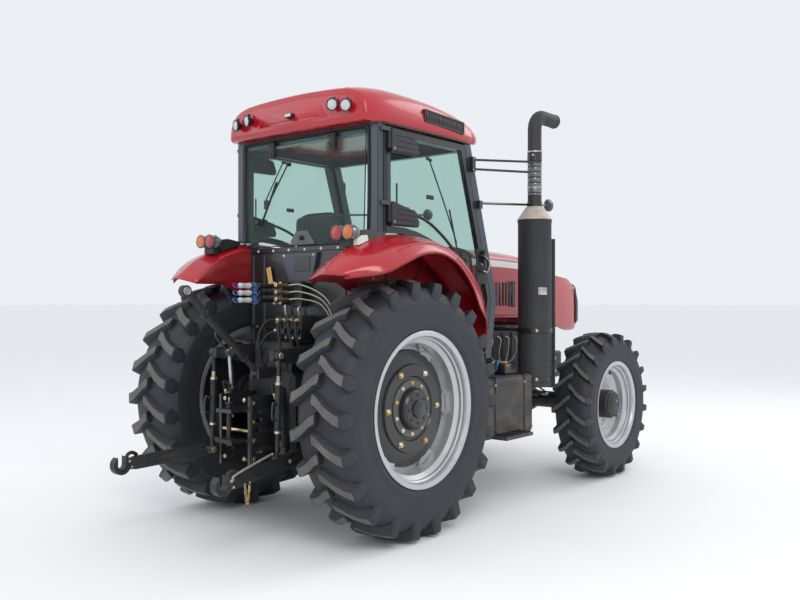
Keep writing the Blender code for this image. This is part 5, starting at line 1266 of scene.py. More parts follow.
    def build(self) -> None:
        """Builds every part of the linkage."""
        for word, side in SIDES.items():
            self.build_link(word, side)
            self.build_rod(word, side)
            self.build_cylinder(word, side)
            dress(self.nodes, Finish.IRON, f"lower_link_{word}", f"lift_rod_{word}")
            dress(self.nodes, Finish.BLACK, f"lift_cylinder_{word}")
            dress(self.nodes, Finish.STEEL, f"cylinder_rod_{word}")
        self.build_arms()
        self.build_top_link()
        dress(self.nodes, Finish.IRON, "lift_arms", "top_link")


@dataclass
class Drawbar(Assembly):
    """Bracket with its clevis, pin, bolt rows and reinforcing ribs."""
    def build(self) -> None:
        """Builds the bracket's details."""
        batch = Batch()
        for side in SIDES.values():
            outer = side * 0.1505
            for x in (-0.690, -0.460):
                for z in (0.520, 0.640, 0.760, 0.880):
                    batch.bolt(at(x, outer, z), (0, side, 0), 0.014, Finish.ZINC)
                    batch.rod(at(x, outer - side * 0.001, z), at(x, outer + side * 0.003, z), 0.019,
                        Finish.STEEL)
            for z in (0.580, 0.700, 0.820):
                batch.box(at(-0.645, outer - 0.003, z - 0.014), at(-0.515, outer + 0.003, z + 0.014),
                    Finish.HOSE, 0.003)
            batch.box(at(-0.716, side * 0.1535 - 0.005, 0.470), at(-0.700, side * 0.1535 + 0.005, 0.920),
                Finish.BLACK)
        batch.rod(at(-0.705, -0.126, 0.700), at(-0.705, 0.126, 0.700), 0.012, Finish.BRASS)
        for y in (-0.095, 0.095):
            for z in (0.520, 0.900):
                batch.bolt(at(-0.719, y, z), (-1, 0, 0), 0.013, Finish.ZINC)
        batch.rod(at(-0.765, 0, 0.600), at(-0.765, 0, 0.875), 0.0155, Finish.IRON, steps=28)
        batch.rod(at(-0.765, 0, 0.872), at(-0.765, 0, 0.884), 0.026, Finish.IRON, steps=28)
        batch.hose([at(-0.765, 0, 0.884), at(-0.765, 0.0, 0.905), at(-0.752, 0.012, 0.915),
                at(-0.735, 0.020, 0.905)], 0.004, Finish.BRASS, 8)
        batch.rod(at(-0.765, -0.024, 0.612), at(-0.765, 0.024, 0.612), 0.004, Finish.STEEL)
        for z in (0.6435, 0.8395):
            batch.ring(at(-0.765, 0, z), (0, 0, 1), 0.026, 0.005, Finish.IRON)
        batch.make("drawbar_fittings", "chassis", "black_paint", smooth=40)
        dress(self.nodes, Finish.BLACK, "drawbar_bracket")


@dataclass
class Couplers(Assembly):
    """Hydraulic couplers with caps, straps, brass fittings and pipes."""
    heights: tuple[float, float, float] = (1.545, 1.594, 1.643)
    y: float = 0.120

    def build(self) -> None:
        """Builds the coupler rows and the pipes behind them."""
        batch = Batch()
        for index, z in enumerate(self.heights):
            def spot(x: float) -> Vector:
                """A point on this coupler's axis."""
                return at(x, self.y, z)

            profile = [(0.0, 0.0), (0.012, 0.002), (0.0190, 0.012), (0.0190, 0.030), (0.0165, 0.034),
                (0.0175, 0.080), (0.0195, 0.084), (0.0195, 0.104), (0.0165, 0.108)]
            batch.turned(profile, spot(-0.585), (1, 0, 0), Finish.CAP, 24)
            batch.turned([(0.0165, 0.0), (0.0195, 0.004), (0.0195, 0.030), (0.0170, 0.034), (0.0170, 0.062),
                          (0.0205, 0.066), (0.0205, 0.095), (0.0170, 0.100), (0.0170, 0.140), (0.0, 0.141)],
                         spot(-0.478), (1, 0, 0), Finish.BLACK, 24)
            for x in (-0.462, -0.452, -0.442):
                batch.ring(spot(x), (1, 0, 0), 0.0195, 0.0035, Finish.BLUE, 24, 6)
            batch.hose([spot(-0.452) + Vector((0, -0.022, 0)), spot(-0.440) + Vector((0, -0.034, -0.012)),
                    spot(-0.460) + Vector((0, -0.030, -0.028)), spot(-0.470) + Vector((0, -0.020, -0.014))],
                0.0028, Finish.BLUE, 6)
            batch.hose([spot(-0.583), spot(-0.606) + Vector((0, 0.010, 0.012)),
                    spot(-0.626) + Vector((0, 0.004, 0.006)), spot(-0.628) + Vector((0, -0.010, -0.010)),
                    spot(-0.606) + Vector((0, -0.016, -0.014)), spot(-0.583)], 0.0035,
                Finish.BLUE if index < 2 else Finish.PURPLE, 6)
            batch.turned([(0.0, 0.0), (0.0150, 0.002), (0.0150, 0.026), (0.0110, 0.030), (0.0110, 0.075),
                    (0.0135, 0.078), (0.0135, 0.094), (0.0060, 0.098)], spot(-0.400), (1, 0, 0),
                Finish.BRASS, 6)
            start = at(-0.250, -0.010, z + 0.004)
            batch.rod(start + Vector((-0.085, 0, 0)), start, 0.0125, Finish.BRASS, steps=16)
            batch.rod(start + Vector((-0.120, 0, 0)), start + Vector((-0.080, 0, 0)), 0.0160, Finish.BRASS,
                steps=6)
            batch.hose([start, start + Vector((0.055, -0.070, 0.004)),
                        at(-0.160, -0.235, z - 0.030 - 0.012 * index), at(-0.150, -0.330, z - 0.150),
                        at(-0.190, -0.400, z - 0.300)], 0.0050, Finish.PIPE, 8)
        for z in (1.525, 1.665):
            batch.bolt(at(-0.230, 0.090, z), (-1, 0, 0), 0.010, Finish.ZINC)
            batch.bolt(at(-0.230, 0.150, z), (-1, 0, 0), 0.010, Finish.ZINC)
        batch.box(at(-0.160, -0.045, 1.500), at(-0.093, 0.078, 1.680), Finish.BLACK, 0.006)
        for z in self.heights:
            batch.rod(at(-0.400, self.y, z), at(-0.228, self.y, z), 0.0160, Finish.BLACK, steps=20)
        batch.box(at(-0.229, 0.075, 1.510), at(-0.0905, 0.165, 1.673), Finish.BLACK, 0.006)
        batch.make("coupler_fittings", "chassis", "black_paint", ["remote_couplers"], 40)


@dataclass
class RearPlumbing(Assembly):
    """Valve bodies, wrapped hoses, brackets and pipes round the rear axle."""
    def add_valves(self, batch: Batch) -> None:
        """Stack of valve bodies under the cab with their caps and levers."""
        for index, y in enumerate((-0.190, -0.125, -0.060, 0.005)):
            batch.box(at(-0.330, y - 0.026, 1.270), at(-0.170, y + 0.026, 1.440), Finish.IRON, 0.008)
            batch.rod(at(-0.345, y, 1.405), at(-0.325, y, 1.405), 0.019, Finish.ZINC, steps=6)
            batch.rod(at(-0.352, y, 1.335), at(-0.325, y, 1.335), 0.022, Finish.BLACK, steps=20)
            batch.bolt(at(-0.331, y - 0.014, 1.290), (-1, 0, 0), 0.008, Finish.ZINC)
            batch.hose([at(-0.255, y, 1.440), at(-0.265, y, 1.475 + 0.01 * index),
                    at(-0.230, y + 0.02, 1.500)], 0.008, Finish.PIPE if index % 2 else Finish.HOSE, 8)

    def add_hoses(self, batch: Batch) -> None:
        """Hoses dropping from the valves to the housing."""
        runs = (
            [(-0.345, 0.005, 1.405), (-0.420, 0.020, 1.400), (-0.455, 0.060, 1.300), (-0.420, 0.080, 1.150),
             (-0.360, 0.090, 1.050)],
            [(-0.352, 0.005, 1.335), (-0.400, 0.045, 1.300), (-0.400, 0.105, 1.200), (-0.350, 0.120, 1.080)],
            [(-0.345, -0.060, 1.405), (-0.410, -0.085, 1.380), (-0.430, -0.120, 1.250),
             (-0.380, -0.135, 1.100),
             (-0.340, -0.140, 1.000)],
            [(-0.345, -0.125, 1.405), (-0.395, -0.160, 1.385), (-0.400, -0.200, 1.260),
             (-0.330, -0.205, 1.120)],
            [(-0.345, -0.190, 1.405), (-0.390, -0.225, 1.360), (-0.370, -0.235, 1.240),
             (-0.300, -0.220, 1.120)])
        for index, run in enumerate(runs):
            path = [at(*spot) for spot in run]
            batch.hose(path, 0.0095, Finish.HOSE, 10)
            if index in (0, 2, 3):
                fine = curve_through(path, 10)
                for step in range(2, len(fine) - 1):
                    batch.ring(fine[step], fine[step] - fine[step - 1], 0.0100, 0.0020, Finish.PLASTIC, 10, 5)
            for spot in (path[0], path[-1]):
                batch.rod(spot - Vector((0.012, 0, 0)), spot + Vector((0.012, 0, 0)), 0.0135, Finish.ZINC,
                    steps=6)

    def build(self) -> None:
        """Builds the valves and hoses, then dresses the housing."""
        batch = Batch()
        self.add_valves(batch)
        self.add_hoses(batch)
        for side in SIDES.values():
            batch.box(at(-0.175, side * 0.360 - 0.030, 1.000), at(-0.155, side * 0.360 + 0.030, 1.120),
                Finish.BLACK)
            for z in (1.025, 1.095):
                batch.bolt(at(-0.176, side * 0.360, z), (-1, 0, 0), 0.011, Finish.ZINC)
            for turn in range(8):
                angle = math.tau * turn / 8
                batch.bolt(at(0.120 * math.cos(angle), side * 0.3605, 0.840 + 0.120 * math.sin(angle)),
                    (0, side, 0), 0.012, Finish.ZINC)
        batch.make("rear_plumbing", "chassis", "black_paint", smooth=45)
        dress(self.nodes, Finish.IRON, "rear_axle_housing")


@dataclass
class Exhaust(Assembly):
    """Silencer with its shield, clamp and perforations, and the tail pipe."""
    x: float = 1.830
    y: float = -0.750
    radius: float = 0.140

    def build(self) -> None:
        """Builds the silencer and the pipe."""
        batch = Batch()
        r, low = self.radius, 0.840
        profile = [(0.0, 0.0), (r - 0.012, 0.0), (r, 0.010), (r, 0.030), (r - 0.003, 0.036),
            (r - 0.003, 1.338), (r, 1.344), (r, 1.366)]
        batch.turned(profile, at(self.x, self.y, low), (0, 0, 1), Finish.MUFFLER, 64)
        batch.turned([(r, 0.0), (r + 0.0015, 0.006), (r - 0.004, 0.014), (0.075, 0.104), (0.062, 0.112),
                (0.0, 0.113)], at(self.x, self.y, low + 1.364), (0, 0, 1), Finish.CONE, 64)
        batch.ring(at(self.x, self.y, low + 1.362), (0, 0, 1), r, 0.0035, Finish.MUFFLER, 64)
        for degrees in range(0, 360, 45):
            spot = at(self.x + (r - 0.020) * math.cos(math.radians(degrees)),
                      self.y + (r - 0.020) * math.sin(math.radians(degrees)), low + 1.388)
            batch.bolt(spot, (0, 0, 1), 0.008, Finish.ZINC)
        for z in (1.00, 1.06):
            for step in range(22):
                turn = math.radians(130 + step * 9)
                out = Vector((math.cos(turn), math.sin(turn), 0))
                batch.rod(at(self.x, self.y, z) + out * (r - 0.006),
                    at(self.x, self.y, z) + out * (r - 0.0015), 0.005, Finish.HOSE, steps=8)
        for z, tall in ((1.30, 0.020), (0.905, 0.020)):
            batch.turned([(r - 0.004, -tall), (r + 0.003, -tall), (r + 0.003, tall), (r - 0.004, tall)],
                         at(self.x, self.y, z), (0, 0, 1), Finish.BLACK, 64)
            batch.bolt(at(self.x - 0.115, self.y - 0.085, z), (-0.8, -0.6, 0), 0.012, Finish.ZINC)
        out = Vector((-0.55, -0.835, 0)).normalized()
        across = Vector((out.y, -out.x, 0))
        batch.loft([[at(self.x, self.y, 1.62) + out * reach + across * a + Vector((0, 0, b))
                     for a, b in ((-0.040, -0.030), (0.040, -0.030), (0.040, 0.030), (-0.040, 0.030))]
                    for reach in (r - 0.010, r + 0.001)], Finish.STEEL)
        batch.box(at(self.x + 0.137, self.y - 0.110, 0.822), at(self.x + 0.148, self.y + 0.110, 2.055),
            Finish.MUFFLER, 0.004)
        for y in (-0.104, 0.104):
            batch.tube([at(self.x + 0.148, self.y + y, 0.830), at(self.x + 0.148, self.y + y, 2.048)], 0.004,
                       Finish.MUFFLER, 8)
        for z in (0.900, 1.300):
            batch.box(at(self.x - 0.040, self.y + r - 0.020, z), at(self.x + 0.040, -0.2715, z + 0.020),
                Finish.BLACK, 0.003)
            batch.tube([at(self.x - 0.034, self.y + r, z - 0.004), at(self.x - 0.034, -0.274, z - 0.004)],
                0.006, Finish.BLACK, 8)
        batch.make("muffler_detail", "chassis", "muffler_grey", ["muffler"], 50)
        pipe = Batch()
        path = [at(self.x, self.y, 2.330), at(self.x, self.y, 2.948)]
        for step in range(9):
            turn = math.radians(90 * step / 8)
            path.append(at(self.x + 0.120 * (1 - math.cos(turn)), self.y, 2.948 + 0.120 * math.sin(turn)))
        path.append(at(self.x + 0.315, self.y, 3.068))
        pipe.tube(path, 0.0565, Finish.MUFFLER, 40)
        for z, tall, extra, finish in ((2.335, 0.020, 0.006, Finish.BLACK),
            (2.470, 0.006, 0.004, Finish.STEEL), (2.720, 0.028, 0.004, Finish.BLACK),
            (2.765, 0.006, 0.006, Finish.STEEL)):
            pipe.turned([(0.054, -tall), (0.0565 + extra, -tall), (0.0565 + extra, tall), (0.054, tall)],
                        at(self.x, self.y, z), (0, 0, 1), finish, 40)
        film = [(0.0580 + 0.0035 * math.sin(index * 2.1), 0.115 * index / 8) for index in range(1, 20)]
        pipe.turned(film, at(self.x, self.y, 2.395), (0, 0, 1), Finish.FILM, 36, caps=False)
        pipe.bolt(at(self.x - 0.060, self.y - 0.020, 2.735), (-0.9, -0.4, 0), 0.009, Finish.STEEL)
        tip = at(self.x + 0.315, self.y, 3.068)
        pipe.turned([(0.0565, -0.004), (0.0595, 0.0), (0.0595, 0.010), (0.0520, 0.012), (0.0500, -0.002),
                (0.0, -0.003)], tip, (1, 0, 0), Finish.HOSE, 40)
        pipe.make("exhaust_pipe_detail", "chassis", "black_paint", ["exhaust_pipe"], 45)


@dataclass
class Bonnet(Assembly):
    """Bonnet with side louvres, seams, latches, nose grille and headlamps."""
    rows: tuple = ((1.440, 0.390, 1.400, 1.955, 0.030), (2.000, 0.390, 1.400, 1.950, 0.030),
                   (2.600, 0.375, 1.380, 1.910, 0.028), (3.050, 0.340, 1.270, 1.840, 0.025),
                   (3.300, 0.310, 1.260, 1.770, 0.020), (3.400, 0.290, 1.280, 1.720, 0.015))
    nose: tuple = ((3.4003, 0.290, 1.280, 1.733), (3.480, 0.280, 1.290, 1.703), (3.550, 0.240, 1.320, 1.643),
                   (3.600, 0.170, 1.370, 1.543))

    def section(self, x: float, half: float, low: float, top: float, crown: float) -> list[Vector]:
        """Cross-section points down one side, over the top and down the other."""
        tall = top - low
        right = [(half, low), (half, low + 0.28 * tall), (half, low + 0.55 * tall),
            (0.965 * half, top - 0.075), (0.86 * half, top - 0.018), (0.55 * half, top + 0.7 * crown),
            (0.0, top + crown)]
        return [at(x, -y, z) for y, z in right] + [at(x, y, z) for y, z in reversed(right[:-1])]

    def build(self) -> None:
        """Builds the cover and its nose."""
        skin = Batch()
        fine = smoothed([self.section(*row) for row in self.rows], 6, 5)
        skin.loft(fine, Finish.BONNET, around=False)
        skin.make("bonnet_skin", "bonnet", "red_paint", ["bonnet"], 60, 0.010)
        trim = Batch()
        for side in SIDES.values():
            for index in range(9):
                x = 1.640 + index * 0.052
                trim.box(at(x, side * 0.3925 - 0.0035, 1.500), at(x + 0.030, side * 0.3925 + 0.0035, 1.700),
                         Finish.PLASTIC, 0.003)
            trim.box(at(1.615, side * 0.3880 - 0.002, 1.485), at(2.115, side * 0.3880 + 0.003, 1.715),
                Finish.HOSE)
            trim.hose([at(1.450, side * 0.391, 1.420), at(2.0, side * 0.391, 1.420),
                    at(2.55, side * 0.378, 1.402)], 0.004, Finish.INNER_RED, 6)
            trim.box(at(2.360, side * 0.382 - 0.004, 1.470), at(2.430, side * 0.384 + 0.004, 1.500),
                Finish.PLASTIC)
            trim.hose([at(1.447, side * 0.390, 1.410), at(1.447, side * 0.391, 1.700),
                    at(1.447, side * 0.378, 1.885), at(1.447, side * 0.340, 1.942),
                    at(1.447, side * 0.215, 1.980), at(1.447, 0.0, 1.988)], 0.006, Finish.HOSE, 8)
        trim.make("bonnet_fittings", "bonnet", "red_paint", smooth=45)
        nose = Batch()
        rings = []
        for x, half, low, top in self.nose:
            tall = top - low
            rings.append([at(x, half * u, low + tall * v) for u,
                    v in ((-0.86, 0.0), (-1.0, 0.14), (-1.0, 0.62), (-0.93, 0.86), (-0.72, 0.98),
                        (0.0, 1.0), (0.72, 0.98), (0.93, 0.86), (1.0, 0.62), (1.0, 0.14), (0.86, 0.0),
                        (0.0, 0.0))])
        fine = [list(row) for row in zip(*[curve_through(list(column), 5) for column in zip(*rings)])]
        nose.loft(fine, Finish.PLASTIC)
        for index in range(9):
            z = 1.330 + index * 0.026
            half = 0.190 - abs(index - 4) * 0.006
            nose.hose([at(3.522, -half - 0.055, z), at(3.585, -half * 0.75, z), at(3.612, 0.0, z),
                       at(3.585, half * 0.75, z), at(3.522, half + 0.055, z)], 0.0065, Finish.PLASTIC, 6)
        for side in SIDES.values():
            for y, z, size in ((0.165, 1.600, 0.044), (0.085, 1.580, 0.036)):
                face = at(3.590 - (y - 0.085) * 0.75, side * y, z)
                out = Vector((1, side * 0.35, 0.30)).normalized()
                nose.turned([(0.0, -0.050), (size + 0.008, -0.045),
                    (size + 0.010, 0.0), (size + 0.002, 0.003),
                             (size, -0.002)], face, out, Finish.PLASTIC, 32)
                nose.turned([(size, -0.002), (size * 0.6, 0.008), (0.0, 0.011)], face, out, Finish.LAMP, 32)
            nose.hose([at(3.405, side * 0.293, 1.330), at(3.405, side * 0.293, 1.560),
                at(3.405, side * 0.262, 1.700),
                       at(3.405, 0.0, 1.738)], 0.007, Finish.HOSE, 8)
        nose.make("bonnet_nose", "bonnet", "cab_dark", ["grille"], 40)


@dataclass
class Mirrors(Assembly):
    """Bolts on the mirror arms, and the arms' finish."""
    def build(self) -> None:
        """Adds the fittings and dresses the arms."""
        dress(self.nodes, Finish.BLACK, *[name for name in self.nodes if "mirror" in name])
        batch = Batch()
        for word, side in SIDES.items():
            for name in self.nodes:
                if "mirror" in name and name.endswith(word):
                    low, high = (Vector(corner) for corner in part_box(name))
                    inner = low.y if side > 0 else high.y
                    for z in (low.z + 0.012, high.z - 0.012):
                        batch.bolt(Vector((low.x + 0.010, inner + side * 0.030, z)), (-1, 0, 0), 0.006,
                            Finish.ZINC)
        if batch.points:
            batch.make("mirror_fittings", "chassis", "black_paint", smooth=40)


@dataclass
class Interior(Assembly):
    """Padded seat, dashboard, steering wheel, levers and floor mat."""
    wheel: Point = (0.780, 0.0, 1.920)
    wheel_radius: float = 0.205

    def pad(self, name: str, low: Point, high: Point, lean: float, pivot: Point, swell: float,
            replaces: Sequence[str] = ()) -> None:
        """A cushion: a finely divided block, swollen in the middle, with sewn channels."""
        low, high = Vector(low), Vector(high)
        cuts = 12
        centre, half = (low + high) / 2, (high - low) / 2
        maker = bmesh.new()
        bmesh.ops.create_cube(maker, size=2.0)
        bmesh.ops.subdivide_edges(maker, edges=maker.edges[:], cuts=cuts, use_grid_fill=True)
        turn = Matrix.Rotation(math.radians(lean), 3, "Y")
        thin = min(range(3), key=lambda axis: half[axis])
        wide = [axis for axis in range(3) if axis != thin]
        for vertex in maker.verts:
            place = vertex.co.copy()
            for axis in range(3):
                others = [place[other] for other in range(3) if other != axis]
                vertex.co[axis] = place[axis] * (1 - 0.10 * (others[0] ** 4 + others[1] ** 4) / 2)
            u, v = place[wide[0]], place[wide[1]]
            dome = (1 - u ** 4) * (1 - v ** 4) * swell
            seams = 0.10 * sum(math.exp(-((v - seam) / 0.05) ** 2) for seam in (-0.45, 0.45))
            seams += 0.10 * sum(math.exp(-((u - seam) / 0.05) ** 2) for seam in (-0.30, 0.0,
                    0.30)) * (abs(v) < 0.5)
            vertex.co[thin] *= 0.80 + dome - seams
            moved = Vector([vertex.co[axis] * half[axis] for axis in range(3)]) + centre
            vertex.co = turn @ (moved - Vector(pivot)) + Vector(pivot)
        mesh = bpy.data.meshes.new(name)
        maker.to_mesh(mesh)
        maker.free()
        mesh.materials.append(Finish.CLOTH.get())
        cushion = bpy.data.objects.new(name, mesh)
        bpy.context.scene.collection.objects.link(cushion)
        modifier = cushion.modifiers.new("round", "SUBSURF")
        modifier.levels = modifier.render_levels = 1
        mesh.shade_smooth()
        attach(cushion, "chassis")
        if replaces:
            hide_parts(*replaces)

    def add_seat(self) -> None:
        """Cushion, backrest, and the shell and piping round them."""
        self.pad("seat_cushion", at(0.200, -0.245, 1.560), at(0.590, 0.245, 1.675), 0, at(0.4, 0, 1.6),
            0.20, ["seat"])
        self.pad("seat_back", at(0.085, -0.240, 1.600), at(0.190, 0.240, 2.165), -5.5, at(0.14, 0, 1.62),
            0.20)
        batch = Batch()
        batch.box(at(0.120, -0.235, 1.542), at(0.580, 0.235, 1.566), Finish.PLASTIC, 0.010)
        batch.hose([at(0.075, -0.215, 1.640), at(0.066, -0.215, 1.900), at(0.064, -0.190, 2.130),
                at(0.066, 0, 2.165), at(0.064, 0.190, 2.130), at(0.066, 0.215, 1.900),
                at(0.075, 0.215, 1.640)], 0.008, Finish.PLASTIC)
        for side in SIDES.values():
            batch.hose([at(0.110, side * 0.242, 1.640), at(0.180, side * 0.244, 1.700),
                    at(0.300, side * 0.244, 1.690)], 0.006, Finish.PLASTIC)
        batch.make("seat_fittings", "chassis", "plastic", smooth=45)

    def add_dashboard(self) -> None:
        """Binnacle, dials, switches and column shroud."""
        batch = Batch()
        outline = [(0.900, 1.620), (0.915, 1.770), (0.975, 1.835), (1.130, 1.835), (1.185, 1.760),
            (1.185, 1.560)]
        half = 0.205
        batch.loft([[at(1.04 + (x - 1.04) * cut, y, 1.70 + (z - 1.70) * cut) for x, z in outline]
                    for y, cut in ((-half, 0.88), (0.020 - half, 0.99), (half - 0.020, 0.99), (half, 0.88))],
                   Finish.PLASTIC)
        slope = Vector((-0.74, 0, 0.67)).normalized()
        for y, radius in ((-0.085, 0.048), (0.085, 0.048), (0.0, 0.030)):
            face = at(0.940, y, 1.802)
            batch.turned([(radius + 0.007, -0.012), (radius + 0.007, 0.006), (radius, 0.007),
                    (radius - 0.003, 0.001)], face, slope, Finish.PLASTIC, 32)
            batch.turned([(radius - 0.003, 0.001), (0.0, 0.0015)], face, slope, Finish.WHITE, 32)
            batch.tube([face + slope * 0.004, face + slope * 0.004 + Vector((0.018, radius * 0.4, 0.020))],
                0.0018, Finish.RED, 6)
        for index in range(6):
            batch.box(at(0.893, -0.155 + index * 0.055, 1.680), at(0.902, -0.120 + index * 0.055, 1.715),
                Finish.GREY)
        batch.make("dashboard_detail", "chassis", "plastic", smooth=40)
        dress(self.nodes, Finish.PLASTIC, "dashboard", "seat_base")

    def add_steering_wheel(self) -> None:
        """Grip ridges, spokes and hub on the wheel."""
        batch = Batch()
        axis = Vector((-math.cos(math.radians(55)), 0, math.sin(math.radians(55))))
        middle = at(*self.wheel) + axis * 0.0186
        axes = frame_along(axis)
        for spot in circle(1.0, 48):
            out = axes @ spot
            batch.ball(middle + out * (self.wheel_radius - 0.010), (0.0065, 0.0065, 0.0065), Finish.PLASTIC,
                8)
        for degrees in (90, 210, 330):
            out = axes @ Vector((math.cos(math.radians(degrees)), math.sin(math.radians(degrees)), 0))
            batch.tube([middle + axis * 0.006 + out * 0.030, middle + axis * 0.002 + out * 0.190], 0.0055,
                Finish.STEEL)
        batch.turned([(0.040, 0.002), (0.040, 0.012), (0.030, 0.020), (0.0, 0.023)], middle, axis,
            Finish.PLASTIC, 32)
        batch.make("steering_wheel_fittings", "steering_wheel", "plastic", smooth=45)
        dress(self.nodes, Finish.PLASTIC, "steering_wheel")

    def add_controls(self) -> None:
        """Levers beside the seat, pedals and a ribbed mat."""
        batch = Batch()
        for index, (x, finish) in enumerate(((0.430, Finish.RED), (0.500, Finish.PLASTIC),
                (0.360, Finish.AMBER))):
            y = -0.385 - 0.035 * index
            batch.hose([at(x, y, 1.500), at(x + 0.020, y, 1.620), at(x + 0.065, y + 0.010, 1.720)], 0.007,
                Finish.STEEL)
            batch.ball(at(x + 0.068, y + 0.010, 1.730), (0.018, 0.018, 0.024), finish)
        batch.box(at(0.250, -0.500, 1.470), at(0.560, -0.340, 1.505), Finish.PLASTIC, 0.010)
        batch.box(at(0.250, 0.340, 1.470), at(0.560, 0.480, 1.505), Finish.PLASTIC, 0.010)
        for y, wide in ((-0.300, 0.040), (0.160, 0.045), (-0.160, 0.045)):
            batch.box(at(1.005, y - wide, 1.195), at(1.020, y + wide, 1.290), Finish.HOSE, 0.004)
            batch.hose([at(1.015, y, 1.240), at(1.080, y, 1.300), at(1.100, y, 1.400)], 0.008, Finish.BLACK)
        for index in range(14):
            batch.box(at(0.600 + index * 0.034, -0.480, 1.1015), at(0.618 + index * 0.034, 0.480, 1.108),
                Finish.HOSE)
        batch.make("cab_controls", "chassis", "plastic", smooth=45)

    def build(self) -> None:
        """Builds everything inside the cab."""
        self.add_seat()
        self.add_dashboard()
        self.add_steering_wheel()
        self.add_controls()


@dataclass
class Tanks(Assembly):
    """Tank straps, caps, steps and the lines above them."""
    def build(self) -> None:
        """Builds the fittings on both tanks."""
        batch = Batch()
        for word, side in SIDES.items():
            outer = side * 0.851
            for x in (1.080, 1.500):
                batch.hose([at(x, side * 0.560, 0.963), at(x, side * 0.700, 0.966),
                        at(x, outer - side * 0.012, 0.964), at(x, outer + side * 0.002, 0.940),
                        at(x, outer + side * 0.003, 0.730), at(x, outer + side * 0.002, 0.520)], 0.006,
                    Finish.BLACK, 6)
                batch.box(at(x - 0.016, outer - 0.003, 0.515), at(x + 0.016, outer + 0.003, 0.945),
                    Finish.BLACK, 0.002)
                batch.bolt(at(x, outer + side * 0.003, 0.905), (0, side, 0), 0.011, Finish.ZINC)
            for low, high in ((0.540, 0.548), (0.900, 0.908)):
                batch.box(at(0.965, outer - 0.003, low), at(1.625, outer + 0.004, high), Finish.TANK, 0.002)
            batch.turned([(0.058, -0.012), (0.060, 0.0), (0.060, 0.016), (0.050, 0.024), (0.0, 0.025)],
                         at(1.110, side * 0.705, 1.000), (0, 0, 1), Finish.PLASTIC, 36)
            for turn in range(18):
                angle = math.tau * turn / 18
                batch.rod(at(1.110 + 0.060 * math.cos(angle), side * 0.705 + 0.060 * math.sin(angle),
                        1.000), at(1.110 + 0.060 * math.cos(angle), side * 0.705 + 0.060 * math.sin(angle),
                        1.016), 0.0035, Finish.PLASTIC, steps=8)
            for x in range(9):
                batch.box(at(1.070 + x * 0.042, side * 0.900 - 0.055, 0.530),
                    at(1.088 + x * 0.042, side * 0.900 + 0.055, 0.537), Finish.BLACK, 0.002)
            for index in range(4):
                z = 0.975 + index * 0.006
                batch.hose([at(1.230 + index * 0.040, side * 0.680, z),
                        at(1.350, side * (0.640 + index * 0.020), 1.060),
                        at(1.500, side * 0.600, 1.020 + index * 0.012), at(1.640, side * 0.460, 1.000)],
                    0.007 + 0.002 * (index % 2), (Finish.HOSE, Finish.PIPE, Finish.HOSE,
                        Finish.BLUE)[index], 8)
            batch.box(at(1.380, side * 0.700 - 0.050, 0.960), at(1.540, side * 0.700 + 0.050, 1.050),
                Finish.BLACK, 0.008)
            batch.box(at(1.400, side * 0.700 - 0.040, 1.048), at(1.440, side * 0.700 + 0.040, 1.062),
                Finish.GOLD_STRIP, 0.004)
            dress(self.nodes, Finish.TANK, f"fuel_tank_{word}")
        batch.make("tank_fittings", "chassis", "black_paint", smooth=45)


